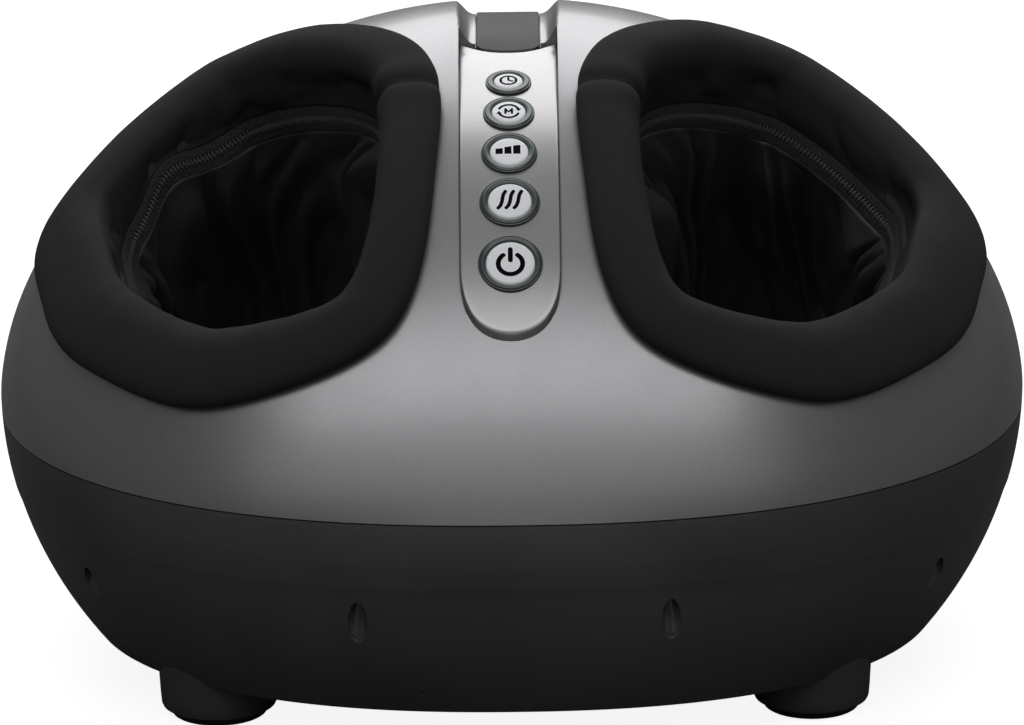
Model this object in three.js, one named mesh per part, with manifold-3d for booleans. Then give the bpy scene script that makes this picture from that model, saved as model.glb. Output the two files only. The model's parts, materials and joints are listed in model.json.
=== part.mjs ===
// Shiatsu foot massager for two feet, in millimetres.
// X runs to the user's right, Y away from the user, Z up. The rubber feet stand on Z = 0.
import * as THREE from 'three';
import { mergeVertices } from 'three/addons/utils/BufferGeometryUtils.js';
import Module from 'manifold-3d';

const wasm = await Module();
wasm.setup();

// Egg shaped body: plan, dome and bowl
const bodyWidth = 430;
const bodyDepth = 375;
const waistHeight = 114;
const domeRise = 149.6;
const bowlDrop = 170.7;
const waistTiltShare = 0.149;
const planPowerShare = 2.28;
const domePowerShare = 1.654;
const bowlPowerShare = 1.93;
const undersideHeight = 19;
const seamHeight = 106;
const seamTiltShare = 0.021;
const wall = 3;
const gap = 0.3;
const overrun = 60;

// Foot openings and their padded collars
const openingSide = 118;
const openingBack = -62;
const openingLift = 170;
const openingTilt = THREE.MathUtils.degToRad(35);
const collarLength = 219.5;
const collarReachShares = [0.33, 0.47, 0.6, 0.52, 0.4, 0.444, 0.387, 0.321];
const collarCrownShares = [0.5, 0.7, 0.8, 1, 1, 1, 0.9, 0.6];
const collarBandShares = [1, 1, 1, 0.95, 0.86, 0.95, 1.14, 1.1];
const collarOverlap = 17;
const collarBand = 28;
const collarCrown = 11;
const collarWallDrop = 19;
const collarLip = 6;
const collarSeat = 0.7;
const zipperTape = 12;
const zipperThickness = 1.6;
const zipperRidge = 1.4;

// Sleeve pocket that takes the foot
const sleeveSide = 108;
const sleeveBack = -5;
const sleeveHalfWidth = 50;
const sleeveHalfLength = 128;
const sleevePowerShare = 2.6;
const sleeveFloor = 78;
const sleeveCloth = 2;
const sleeveFold = 2.4;
const sleeveFolds = 8;

// Control panel and the channel that it lies in
const panelLowEnd = -148.6;
const panelHighEnd = -12;
const panelHalfWidth = 20.2;
const panelThickness = 3;
const panelRise = 3.5;
const panelSink = 9;
const panelEndTilt = THREE.MathUtils.degToRad(50);
const panelHornEnd = -3.6;
const panelArcRadius = 29.5;
const channelWall = 3.3;
const channelLowHalfWidth = 20.5;
const channelTopHalfWidth = 21.4;
const channelSpreadEnd = 25;
const handleDepth = 5.9;
const handleBlendEnd = 40;
const channelFloorHalfWidth = 15.8;
const channelBackEnd = 160;

// Handle strip and the hand grip at the back
const stripHalfWidth = 13.3;
const stripThickness = 2.2;
const stripProud = 0.7;
const gripHalfWidth = 45;
const gripFront = 130;
const gripLow = 164;
const gripHigh = 204;
const gripWall = 2.5;

// Buttons: place along the panel, ring and disc diameters
const buttonNames = ['power', 'heat', 'intensity', 'mode', 'timer'];
const buttonPlaces = [-127.9, -105.2, -83.3, -61.9, -41.3];
const ringDiameters = [25.8, 24.3, 22.7, 21, 18.8];
const discDiameters = [19.4, 17.4, 15.5, 13.8, 11.9];
const bezelHeight = 1.2;
const bezelInnerHeight = 0.9;
const bezelFlange = 1.6;
const bezelStep = 1.2;
const buttonProud = 1;
const buttonBody = 2.7;
const buttonCrown = 0.4;
const buttonTravel = 1.2;
const stemRadius = 3;
const stemClearance = 0.5;
const switchGap = 1.2;

// Circuit board under the panel
const boardDepth = 14;
const boardHalfWidth = 17;
const boardThickness = 1.6;
const boardOverhang = 14;
const pegRadius = 3;
const pegInset = 6;

// Kneading drive: heads on worm wheels, worms on two long shafts
const headSide = 108;
const headPitch = 66;
const headBack = -8;
const headNames = ['heel', 'arch', 'toe'];
const headDiscRadius = 27;
const headDiscThickness = 5;
const noduleCircle = 21;
const noduleRadius = 9;
const noduleTop = 75.4;
const noduleShoulderShare = 0.7;
const noduleCount = 3;
const hubRadius = 5;
const hubFoot = 27;
const wheelTeeth = 12;
const wheelPitchRadius = 20;
const wheelThickness = 8;
const wormPitchRadius = 8.5;
const wormHeight = 36;
const wormTurns = 1.5;
const toothAddendum = 2.4;
const toothDedendum = 2.8;
const toothHalf = 2.45;
const threadHalf = 2.4;
const flankShare = Math.tan(THREE.MathUtils.degToRad(20));
const shaftRadius = 4;
const shaftFront = -122;
const shaftBack = 92;
const bearingWidth = 5;
const bearingHalf = 8;
const bearingBore = 4.7;
const deckBottom = 48;
const deckThickness = 3;
const deckInner = 54;
const deckOuter = 151;
const deckFront = -108;
const deckBack = 98;
const deckCorner = 12;
const postRadius = 4;

// Motor, belt and pulleys
const motorRadius = 20;
const motorLength = 70;
const motorHeight = 46;
const motorFront = -100;
const motorShaftRadius = 3;
const motorShaftDepth = 10;
const motorPulleyRadius = 5.5;
const drivenPulleyRadius = 11;
const pulleyFront = -121;
const pulleyWidth = 10;
const pulleyRim = 1.2;
const pulleyRimWidth = 1;
const beltThickness = 1.5;
const beltWidth = 7;
const saddleWidth = 6;
const saddleHalf = 16;
const saddleInset = 14;

// Air system
const pumpWidth = 52;
const pumpLength = 66;
const pumpHeight = 44;
const pumpBack = 15;
const pumpCorner = 6;
const nippleRadius = 3;
const nippleLength = 5;
const nippleSpread = 13;
const airbagWidth = 76;
const airbagLength = 56;
const airbagThickness = 18;
const airbagCornerPower = 3.2;
const airbagEdgeShare = 0.85;
const airbagFaceShare = 0.45;
const airbagEdgeHeightShare = 0.72;
const airbagBack = 100;
const airbagHeight = 176;
const airbagTilt = THREE.MathUtils.degToRad(-42);
const hoseRadius = 3;
const airbagPost = 6;

// Power inlet
const inletHeight = 62;
const inletBack = 158;
const inletBoss = 13;
const inletRadius = 8;
const inletFlange = 10.5;
const inletFlangeThickness = 1.7;
const inletLength = 22;
const inletSocket = 3.2;
const inletSocketDepth = 12;
const inletPin = 1;

// Legs, rubber feet, screw wells and screws
const frontLegSide = 121;
const frontLegBack = -111;
const backLegSide = 115;
const backLegBack = 84;
const legTopRadius = 25.4;
const legRadius = 23.6;
const footHeight = 3.4;
const padRadius = 19.6;
const padRounding = 1.2;
const screwNames = ['front_inner', 'front_outer', 'back_inner', 'back_outer'];
const screwAngleShares = [-0.4206, -0.203, 0.4082, 0.0835];
const screwLevelShares = [-0.1639, -0.2399, -0.4749, -0.4028];
const screwTilt = THREE.MathUtils.degToRad(14);
const wellDepth = 26;
const wellRadius = 4;
const bossRadius = 7;
const screwHeadRadius = 3.4;
const screwHeadHeight = 2.6;
const screwShank = 1.7;
const screwHole = 2.1;
const screwBite = 10;
const screwPostRadius = 5;
const pinHoleRadius = 1;
const pinHoleAngleShare = -0.5464;
const pinHoleLevelShare = -0.354;

// Finishes
function finish(color, roughness, metalness) {
  return { color, roughness, metalness };
}
const silver = finish(0x9a979b, 0.34, 0.55);
const panelSilver = finish(0xc9c9cb, 0.32, 0.5);
const blackPlastic = finish(0x1b1b1d, 0.45, 0);
const handlePlastic = finish(0x4c4c4e, 0.35, 0.1);
const ringGreen = finish(0x5b6462, 0.35, 0.5);
const discWhite = finish(0xe4e5ea, 0.35, 0.3);
const fabricBlack = finish(0x1c1c1d, 0.9, 0);
const zipperBlack = finish(0x26262a, 0.6, 0.1);
const rubberBlack = finish(0x17171a, 0.85, 0);
const deckGrey = finish(0x8c8f92, 0.6, 0);
const noduleGrey = finish(0xb9b4ac, 0.6, 0);
const gearWhite = finish(0xe9e6dc, 0.5, 0);
const steel = finish(0xb4b8bc, 0.3, 1);
const boardGreen = finish(0x1f6a3c, 0.55, 0);
const airbagBlue = finish(0x35556e, 0.8, 0);
const hoseClear = finish(0xcfd2cf, 0.5, 0);
const brass = finish(0xb9974c, 0.35, 0.9);

const massager = new THREE.Group();

function addPart(name, geometry, look) {
  const material = new THREE.MeshStandardMaterial(look);
  const mesh = new THREE.Mesh(geometry, material);
  mesh.name = name;
  massager.add(mesh);
  return mesh;
}

// Joining and cutting of closed meshes
function solidOf(geometry) {
  const bare = geometry.clone();
  bare.deleteAttribute('normal');
  bare.deleteAttribute('uv');
  const merged = mergeVertices(bare);
  const corners = merged.index.array;
  const kept = [];
  for (let i = 0; i < corners.length; i += 3) {
    const [a, b, c] = corners.slice(i, i + 3);
    if (a !== b && b !== c && c !== a) kept.push(a, b, c);
  }
  return new wasm.Manifold(new wasm.Mesh({
    numProp: 3,
    vertProperties: new Float32Array(merged.attributes.position.array),
    triVerts: new Uint32Array(kept),
  }));
}

function geometryOf(solid) {
  const mesh = solid.getMesh();
  const geometry = new THREE.BufferGeometry();
  geometry.setAttribute('position', new THREE.BufferAttribute(mesh.vertProperties, 3));
  geometry.setIndex(new THREE.BufferAttribute(mesh.triVerts, 1));
  geometry.computeVertexNormals();
  return geometry;
}

// Closed body through rings of points, either round and round or with a fan at each end
function loft(rings, closed = false) {
  const count = rings[0].length;
  const points = rings.flat();
  const index = [];
  const spans = closed ? rings.length : rings.length - 1;
  for (let i = 0; i < spans; i += 1) {
    const here = i * count;
    const next = ((i + 1) % rings.length) * count;
    for (let j = 0; j < count; j += 1) {
      const beside = (j + 1) % count;
      index.push(here + j, here + beside, next + beside);
      index.push(here + j, next + beside, next + j);
    }
  }
  if (!closed) {
    const last = (rings.length - 1) * count;
    const startCentre = points.push(centreOf(rings[0])) - 1;
    const endCentre = points.push(centreOf(rings[rings.length - 1])) - 1;
    for (let j = 0; j < count; j += 1) {
      const beside = (j + 1) % count;
      index.push(startCentre, beside, j);
      index.push(endCentre, last + j, last + beside);
    }
  }
  const geometry = new THREE.BufferGeometry().setFromPoints(points);
  geometry.setIndex(faceOutward(points, index));
  geometry.computeVertexNormals();
  return geometry;
}

function centreOf(ring) {
  const sum = new THREE.Vector3();
  ring.forEach((point) => sum.add(point));
  return sum.divideScalar(ring.length);
}

function faceOutward(points, index) {
  let volume = 0;
  const normal = new THREE.Vector3();
  for (let i = 0; i < index.length; i += 3) {
    normal.crossVectors(points[index[i + 1]], points[index[i + 2]]);
    volume += points[index[i]].dot(normal);
  }
  return volume < 0 ? index.reverse() : index;
}

function cylinder(radius, low, high, sides = 16, topRadius = radius) {
  const geometry = new THREE.CylinderGeometry(topRadius, radius, high - low, sides);
  geometry.rotateX(Math.PI / 2);
  geometry.translate(0, 0, (low + high) / 2);
  return geometry;
}

function boxBetween(low, high) {
  const geometry = new THREE.BoxGeometry(high[0] - low[0], high[1] - low[1], high[2] - low[2]);
  geometry.translate((high[0] + low[0]) / 2, (high[1] + low[1]) / 2, (high[2] + low[2]) / 2);
  return geometry;
}

function turned(profile, sides) {
  const points = profile.map(([radius, height]) => new THREE.Vector2(radius, height));
  return new THREE.LatheGeometry(points, sides).rotateX(Math.PI / 2);
}

function alongY(geometry, x, z) {
  return geometry.rotateX(-Math.PI / 2).translate(x, 0, z);
}

function basis(geometry, origin, across, up, out) {
  geometry.applyMatrix4(new THREE.Matrix4().makeBasis(across, up, out));
  return geometry.translate(origin.x, origin.y, origin.z);
}

// The egg shaped surface
function signedPower(value, power) {
  return Math.sign(value) * Math.abs(value) ** power;
}

function bodyPoint(angle, level, inset) {
  const rising = level >= 0;
  const power = rising ? domePowerShare : bowlPowerShare;
  const reach = (rising ? domeRise : bowlDrop) - inset;
  const spread = Math.max(1 - Math.abs(level) ** power, 0) ** (1 / power);
  const x = (bodyWidth / 2 - inset) * spread * signedPower(Math.cos(angle), 2 / planPowerShare);
  const y = (bodyDepth / 2 - inset) * spread * signedPower(Math.sin(angle), 2 / planPowerShare);
  return new THREE.Vector3(x, y, waistHeight + waistTiltShare * y + reach * level);
}

function bodySolid(inset, around, domeLevels, bowlLevels) {
  const rings = [];
  const lowestShare = 0.8;
  const steepestShare = 0.95;
  for (let i = bowlLevels; i > 0; i -= 1) rings.push(ring(-lowestShare * i / bowlLevels));
  for (let i = 0; i <= domeLevels; i += 1) {
    rings.push(ring(Math.sin(steepestShare * i / domeLevels * Math.PI / 2)));
  }
  function ring(level) {
    return Array.from({ length: around }, (_, i) => bodyPoint(i / around * 2 * Math.PI, level, inset));
  }
  return solidOf(loft(rings));
}

function planReach(x, y, inset) {
  const across = Math.abs(x / (bodyWidth / 2 - inset)) ** planPowerShare;
  const along = Math.abs(y / (bodyDepth / 2 - inset)) ** planPowerShare;
  return (across + along) ** (1 / planPowerShare);
}

function domeHeight(x, y, inset = 0) {
  const reach = Math.min(planReach(x, y, inset), 1);
  const level = (1 - reach ** domePowerShare) ** (1 / domePowerShare);
  return waistHeight + waistTiltShare * y + (domeRise - inset) * level;
}

function insideBody(point) {
  const rise = point.z - waistHeight - waistTiltShare * point.y;
  const power = rise >= 0 ? domePowerShare : bowlPowerShare;
  const level = Math.abs(rise) / (rise >= 0 ? domeRise : bowlDrop);
  return planReach(point.x, point.y, 0) ** power + level ** power - 1;
}

function bodyNormal(point) {
  const step = gap / 10;
  const normal = new THREE.Vector3();
  for (const axis of ['x', 'y', 'z']) {
    const ahead = point.clone();
    const behind = point.clone();
    ahead[axis] += step;
    behind[axis] -= step;
    normal[axis] = insideBody(ahead) - insideBody(behind);
  }
  return normal.normalize();
}

function ontoDome(start, direction) {
  let near = 0;
  let far = bodyWidth;
  const halvings = 30;
  for (let i = 0; i < halvings; i += 1) {
    const middle = (near + far) / 2;
    const probe = start.clone().addScaledVector(direction, middle);
    if (insideBody(probe) < 0) near = middle;
    else far = middle;
  }
  return start.clone().addScaledVector(direction, (near + far) / 2);
}

// Everything above or below a plane that rises towards the back by a share
function above(height, tiltShare = 0) {
  const size = bodyWidth * 2;
  const geometry = new THREE.BoxGeometry(size, size, size).translate(0, 0, size / 2);
  geometry.rotateX(Math.atan(tiltShare)).translate(0, 0, height);
  return solidOf(geometry);
}

// Outline of one foot opening, as points around the opening's own tilted plane
const openingAxis = new THREE.Vector3(0, -Math.sin(openingTilt), Math.cos(openingTilt));
const openingUp = new THREE.Vector3(0, Math.cos(openingTilt), Math.sin(openingTilt));
const openingAcross = new THREE.Vector3(1, 0, 0);
const openingCentre = new THREE.Vector3(openingSide, openingBack, openingLift);

function openingOutline(inset, steps) {
  const corners = collarReachShares.map((share, i) => {
    const angle = i / collarReachShares.length * 2 * Math.PI;
    return new THREE.Vector3(Math.cos(angle), Math.sin(angle), 0).multiplyScalar(share * collarLength);
  });
  const curve = new THREE.CatmullRomCurve3(corners, true, 'catmullrom');
  return Array.from({ length: steps }, (_, i) => {
    const tangent = curve.getTangent(i / steps);
    const point = curve.getPoint(i / steps);
    return new THREE.Vector2(point.x - tangent.y * inset, point.y + tangent.x * inset);
  });
}

function openingPoint(flat, side) {
  const start = openingCentre.clone();
  start.addScaledVector(openingAcross, flat.x).addScaledVector(openingUp, flat.y);
  start.addScaledVector(openingAxis, -overrun);
  const point = ontoDome(start, openingAxis);
  point.x *= side;
  return point;
}

function mirrored(vector, side) {
  return new THREE.Vector3(vector.x * side, vector.y, vector.z);
}

function openingPrism(inset, side) {
  const shape = new THREE.Shape(openingOutline(inset, 22).map((p) => new THREE.Vector2(p.x * side, p.y)));
  const geometry = new THREE.ExtrudeGeometry(shape, { depth: bodyWidth, bevelEnabled: false });
  const origin = mirrored(openingCentre, side).addScaledVector(openingAxis, -overrun);
  return solidOf(basis(geometry, origin, openingAcross, openingUp, openingAxis));
}

// Collar, zipper and sleeve all hang from the same rings round the opening
const aroundCollar = 34;

// Share at one step round the opening, blended between the shares given at equal angles
function shareAround(shares, step) {
  const place = step / aroundCollar * shares.length;
  const here = Math.floor(place);
  return THREE.MathUtils.lerp(shares[here], shares[(here + 1) % shares.length], smooth(place - here));
}

function rimFrame(step, side) {
  const inset = (distance) => {
    const flat = openingOutline(distance, aroundCollar)[step];
    const point = openingPoint(flat, side);
    return { point, normal: bodyNormal(point) };
  };
  const band = collarBand * shareAround(collarBandShares, step);
  const inner = inset(band);
  const down = inner.normal.clone().add(openingAxis).normalize().negate();
  const inward = new THREE.Vector3(openingSide * side, openingBack, inner.point.z).sub(inner.point);
  inward.addScaledVector(down, -inward.dot(down)).normalize();
  return { inset, inner, band, down, inward };
}

function collarGeometry(side) {
  const rings = [];
  for (let step = 0; step < aroundCollar; step += 1) {
    const frame = rimFrame(step, side);
    const crown = collarCrown * shareAround(collarCrownShares, step);
    const over = (distanceShare, heightShare) => {
      const { point, normal } = frame.inset(distanceShare * frame.band);
      return point.addScaledVector(normal, collarSeat + heightShare * crown);
    };
    const hanging = (dropShare, thickness) => frame.inner.point.clone()
      .addScaledVector(frame.down, dropShare * collarWallDrop)
      .addScaledVector(frame.inward, -thickness);
    const outer = frame.inset(collarOverlap + 2 * gap);
    rings.push([
      over(0, 0),
      over(0.1, 0.55),
      over(0.3, 0.92),
      over(0.55, 1),
      over(0.8, 0.75),
      over(0.96, 0.3),
      hanging(0.25, 0),
      hanging(1, 0),
      hanging(1, collarLip / 2),
      hanging(0.3, collarLip),
      outer.point.clone().addScaledVector(outer.normal, collarSeat),
    ]);
  }
  return loft(rings, true);
}

function zipperGeometry(side) {
  const rings = [];
  for (let step = 0; step < aroundCollar; step += 1) {
    const frame = rimFrame(step, side);
    const at = (dropShare, thickness) => frame.inner.point.clone()
      .addScaledVector(frame.down, collarWallDrop + gap + dropShare * zipperTape)
      .addScaledVector(frame.inward, thickness);
    rings.push([
      at(0, -zipperThickness),
      at(1, -zipperThickness),
      at(1, 0),
      at(0.5, zipperRidge),
      at(0, 0),
    ]);
  }
  return loft(rings, true);
}

// The sleeve falls from the zipper to the sole, runs under the back of the dome to the toes
function sleeveGeometry(side) {
  const steps = aroundCollar;
  const levels = 4;
  const inner = [];
  for (let i = 0; i <= levels; i += 1) {
    const t = i / levels;
    inner.push(Array.from({ length: steps }, (_, step) => sleevePoint(step, t)));
  }
  function sleevePoint(step, t) {
    const frame = rimFrame(step, side);
    const top = frame.inner.point.clone();
    top.addScaledVector(frame.down, collarWallDrop + zipperTape + 2 * gap);
    const angle = step / steps * 2 * Math.PI;
    const reach = signedPower(Math.cos(angle), 2 / sleevePowerShare);
    const x = side * (sleeveSide + sleeveHalfWidth * reach);
    const y = sleeveBack + sleeveHalfLength * signedPower(Math.sin(angle), 2 / sleevePowerShare);
    const spread = Math.sin(t * Math.PI / 2);
    const point = new THREE.Vector3();
    point.x = THREE.MathUtils.lerp(top.x, x, spread);
    point.y = THREE.MathUtils.lerp(top.y, y, spread);
    point.z = THREE.MathUtils.lerp(top.z, sleeveFloor, t);
    const fold = sleeveFold * Math.sin(t * Math.PI) * Math.cos(sleeveFolds * angle);
    const centre = new THREE.Vector3(sleeveSide * side, sleeveBack, point.z);
    return point.addScaledVector(centre.sub(point).normalize(), fold);
  }
  const outer = inner.map((ring, i) => ring.map((point, step) => {
    const along = ring[(step + 1) % steps].clone().sub(ring[(step + steps - 1) % steps]);
    const down = inner[Math.min(i + 1, levels)][step].clone().sub(inner[Math.max(i - 1, 0)][step]);
    const out = down.cross(along).multiplyScalar(side).normalize();
    if (i === 0) return point.clone().addScaledVector(rimFrame(step, side).inward, -sleeveCloth);
    const moved = point.clone().addScaledVector(out, sleeveCloth);
    if (i === levels) moved.z = sleeveFloor - sleeveCloth;
    return moved;
  }));
  return loft([...outer].reverse().concat(inner));
}

// Channel along the middle of the dome: panel in front, handle strip over the crown
function smooth(t) {
  const held = THREE.MathUtils.clamp(t, 0, 1);
  return held * held * (3 - 2 * held);
}

function channelHeight(y) {
  const panelShare = THREE.MathUtils.clamp((y - panelLowEnd) / (panelHighEnd - panelLowEnd), 0, 1);
  const panelOffset = panelRise - (panelRise + panelSink) * panelShare ** 2;
  const handleShare = smooth((y - panelHighEnd) / (handleBlendEnd - panelHighEnd));
  return domeHeight(0, y) + THREE.MathUtils.lerp(panelOffset, -handleDepth, handleShare);
}

function channelHalfWidth(y) {
  const share = smooth((y - panelHighEnd) / (channelSpreadEnd - panelHighEnd));
  return THREE.MathUtils.lerp(channelLowHalfWidth, channelTopHalfWidth, share);
}

function channelFrame(y) {
  const up = new THREE.Vector3(0, 2 * gap, channelHeight(y + gap) - channelHeight(y - gap)).normalize();
  const out = new THREE.Vector3(0, -up.z, up.y);
  return { point: new THREE.Vector3(0, y, channelHeight(y)), up, out };
}

// Body between two y stations whose sections are lists of [x, depth below the channel surface]
function channelLoft(from, to, stations, sectionOf) {
  const rings = [];
  for (let i = 0; i <= stations; i += 1) {
    const y = THREE.MathUtils.lerp(from, to, i / stations);
    const steep = channelFrame(y).up.y;
    rings.push(sectionOf(y, steep).map(([x, z]) => new THREE.Vector3(x, y, z)));
  }
  return solidOf(loft(rings));
}

function panelPrism(clearance) {
  const half = panelHalfWidth + clearance;
  const low = channelFrame(panelLowEnd).point;
  const out = new THREE.Vector3(0, -Math.sin(panelEndTilt), Math.cos(panelEndTilt));
  const up = new THREE.Vector3(0, Math.cos(panelEndTilt), Math.sin(panelEndTilt));
  const shape = new THREE.Shape();
  shape.moveTo(half, bodyDepth);
  shape.lineTo(-half, bodyDepth);
  shape.lineTo(-half, panelHalfWidth);
  shape.absarc(0, panelHalfWidth, half, Math.PI, 2 * Math.PI);
  const geometry = new THREE.ExtrudeGeometry(shape, {
    depth: bodyDepth,
    bevelEnabled: false,
    curveSegments: 10,
  });
  const origin = low.clone().addScaledVector(out, -bodyDepth / 2);
  return solidOf(basis(geometry, origin, openingAcross, up, out));
}

const channelStations = 9;
const panelStations = 10;
const skyHeight = waistHeight + domeRise + overrun;

// Upright cylinder whose front is the arc between the panel's hollow end and the handle strip
function arcCylinder(clearance) {
  const arcSides = 40;
  const arc = cylinder(panelArcRadius - clearance, 0, skyHeight, arcSides);
  return solidOf(arc.translate(0, panelHighEnd + panelArcRadius, 0));
}

// Everything from the arc towards the back
function behindArc(clearance) {
  const back = boxBetween([-bodyWidth, panelHighEnd + panelArcRadius, 0], [bodyWidth, bodyDepth, skyHeight]);
  return arcCylinder(clearance).add(solidOf(back));
}

function seatCutter() {
  const half = panelHalfWidth + gap;
  const seat = channelLoft(panelLowEnd - wall, panelHornEnd + gap, panelStations, (y, steep) => {
    const floor = channelHeight(y) - (panelThickness + gap) / steep;
    return [[-half, floor], [half, floor], [half, skyHeight], [-half, skyHeight]];
  });
  return seat.intersect(panelPrism(gap));
}

// Sloping channel walls, run on past the dome's surface, and the groove that the strip lies in
function handleCutter() {
  const channel = channelLoft(panelHighEnd, channelBackEnd, channelStations, (y, steep) => {
    const floor = channelHeight(y) - stripProud / steep;
    const lip = domeHeight(0, y);
    const top = 2 * channelHalfWidth(y) - channelFloorHalfWidth;
    return [
      [-channelFloorHalfWidth, floor],
      [channelFloorHalfWidth, floor],
      [top, 2 * lip - floor],
      [top, skyHeight],
      [-top, skyHeight],
      [-top, 2 * lip - floor],
    ];
  });
  const half = stripHalfWidth + gap;
  const groove = channelLoft(panelHighEnd, channelBackEnd, channelStations, (y, steep) => {
    const floor = channelHeight(y) - (stripThickness + gap) / steep;
    return [[-half, floor], [half, floor], [half, skyHeight], [-half, skyHeight]];
  });
  return channel.add(groove.intersect(behindArc(gap)));
}

function channelTrough() {
  const half = channelTopHalfWidth + channelWall;
  return channelLoft(panelLowEnd, channelBackEnd - wall, channelStations, (y, steep) => {
    const floor = channelHeight(y) - (panelThickness + gap + channelWall) / steep;
    return [[-half, floor], [half, floor], [half, skyHeight], [-half, skyHeight]];
  });
}

const buttons = buttonNames.map((name, i) => ({
  name,
  ring: ringDiameters[i],
  disc: discDiameters[i],
  ...channelFrame(buttonPlaces[i]),
}));

function buttonPlaced(geometry, button) {
  return basis(geometry, button.point, openingAcross, button.up, button.out);
}

// Circuit board plane, under the first and the last button
const firstSwitch = buttons[0].point.clone().addScaledVector(buttons[0].out, -boardDepth);
const lastSwitch = buttons[4].point.clone().addScaledVector(buttons[4].out, -boardDepth);
const boardUp = lastSwitch.clone().sub(firstSwitch).normalize();
const boardOut = new THREE.Vector3(0, -boardUp.z, boardUp.y);
const boardLength = lastSwitch.distanceTo(firstSwitch);

function boardGeometry() {
  const geometry = boxBetween(
    [-boardHalfWidth, -boardOverhang, -boardThickness],
    [boardHalfWidth, boardLength + boardOverhang, 0],
  );
  return basis(geometry, firstSwitch, openingAcross, boardUp, boardOut);
}

function boardPegs() {
  const ends = [-pegInset - boardOverhang / 2, boardLength + boardOverhang / 2];
  const pegs = ends.map((along) => {
    const geometry = cylinder(pegRadius, gap, boardDepth, 10).translate(0, along + pegInset / 2, 0);
    return solidOf(basis(geometry, firstSwitch, openingAcross, boardUp, boardOut));
  });
  return pegs[0].add(pegs[1]);
}

// Shells
const outerBody = bodySolid(0, 40, 8, 6);
const innerBody = bodySolid(wall, 24, 5, 4);

function gripBox(growth, out) {
  return solidOf(boxBetween(
    [-gripHalfWidth - growth, gripFront - growth, gripLow - growth],
    [gripHalfWidth + growth, out, gripHigh + growth],
  ));
}

// Screws start in wells in the bowl and lean inward up to the seam and on into the dome's posts
const screws = [-1, 1].flatMap((side) => screwNames.map((name, i) => {
  const point = bodyPoint(screwAngleShares[i] * Math.PI, screwLevelShares[i], 0);
  point.x *= side;
  const outward = new THREE.Vector3(point.x, point.y, 0).normalize();
  const out = new THREE.Vector3(0, 0, Math.cos(screwTilt)).addScaledVector(outward, -Math.sin(screwTilt));
  const across = new THREE.Vector3(-outward.y, outward.x, 0);
  const up = new THREE.Vector3().crossVectors(out, across);
  const climb = seamHeight + seamTiltShare * point.y - point.z;
  return {
    label: `${side < 0 ? 'left' : 'right'}_${name}`,
    seam: climb / (out.z - seamTiltShare * out.y),
    place: (geometry) => basis(geometry, point, across, up, out),
  };
}));

function upperShellGeometry() {
  let shell = outerBody.subtract(innerBody);
  shell = shell.add(channelTrough().intersect(outerBody));
  for (const screw of screws) {
    const top = screw.seam + screwBite + wall;
    const block = boxBetween(
      [-screwPostRadius, -overrun, screw.seam - bossRadius],
      [screwPostRadius, screwPostRadius, top],
    );
    shell = shell.add(solidOf(screw.place(block)).intersect(outerBody));
  }
  for (const side of [-1, 1]) {
    const post = cylinder(airbagPost, airbagHeight, skyHeight, 10);
    const hanger = solidOf(post.translate(sleeveSide * side, airbagBack, 0)).subtract(airbagRoom(side));
    shell = shell.add(hanger.intersect(outerBody));
  }
  shell = shell.add(boardPegs());
  shell = shell.subtract(seatCutter()).subtract(handleCutter());
  for (const button of buttons) {
    const hole = cylinder(stemRadius + stemClearance, -boardDepth, overrun, 8);
    shell = shell.subtract(solidOf(buttonPlaced(hole, button)));
  }
  for (const side of [-1, 1]) shell = shell.subtract(openingPrism(collarOverlap - wall / 2, side));
  shell = shell.subtract(gripBox(gripWall + gap, bodyDepth));
  for (const screw of screws) {
    shell = shell.subtract(solidOf(screw.place(cylinder(screwHole, 0, screw.seam + screwBite + gap, 6))));
  }
  return geometryOf(shell.intersect(above(seamHeight + gap, seamTiltShare)));
}

// Room kept under each post that an airbag hangs from
function airbagRoom(side) {
  const frame = airbagFrame(side);
  const reach = airbagLength / 2;
  const room = boxBetween([-reach, -reach, -airbagLength], [reach, reach, airbagThickness / 2 + gap]);
  return solidOf(basis(room, frame.origin, openingAcross, frame.up, frame.out));
}

const legPlaces = [-1, 1].flatMap((side) => [
  { label: `${side < 0 ? 'left' : 'right'}_front`, x: frontLegSide * side, y: frontLegBack },
  { label: `${side < 0 ? 'left' : 'right'}_back`, x: backLegSide * side, y: backLegBack },
]);

const headPlaces = [-1, 1].flatMap((side) => headNames.map((name, i) => ({
  label: `${side < 0 ? 'left' : 'right'}_${name}`,
  x: headSide * side,
  y: headBack + (i - 1) * headPitch,
  side,
})));

function deckPosts(side) {
  const inset = deckCorner / 2;
  return [deckInner + inset, deckOuter - inset].flatMap((x) => (
    [deckFront + inset, deckBack - inset].map((y) => ({ x: x * side, y }))
  ));
}

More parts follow.
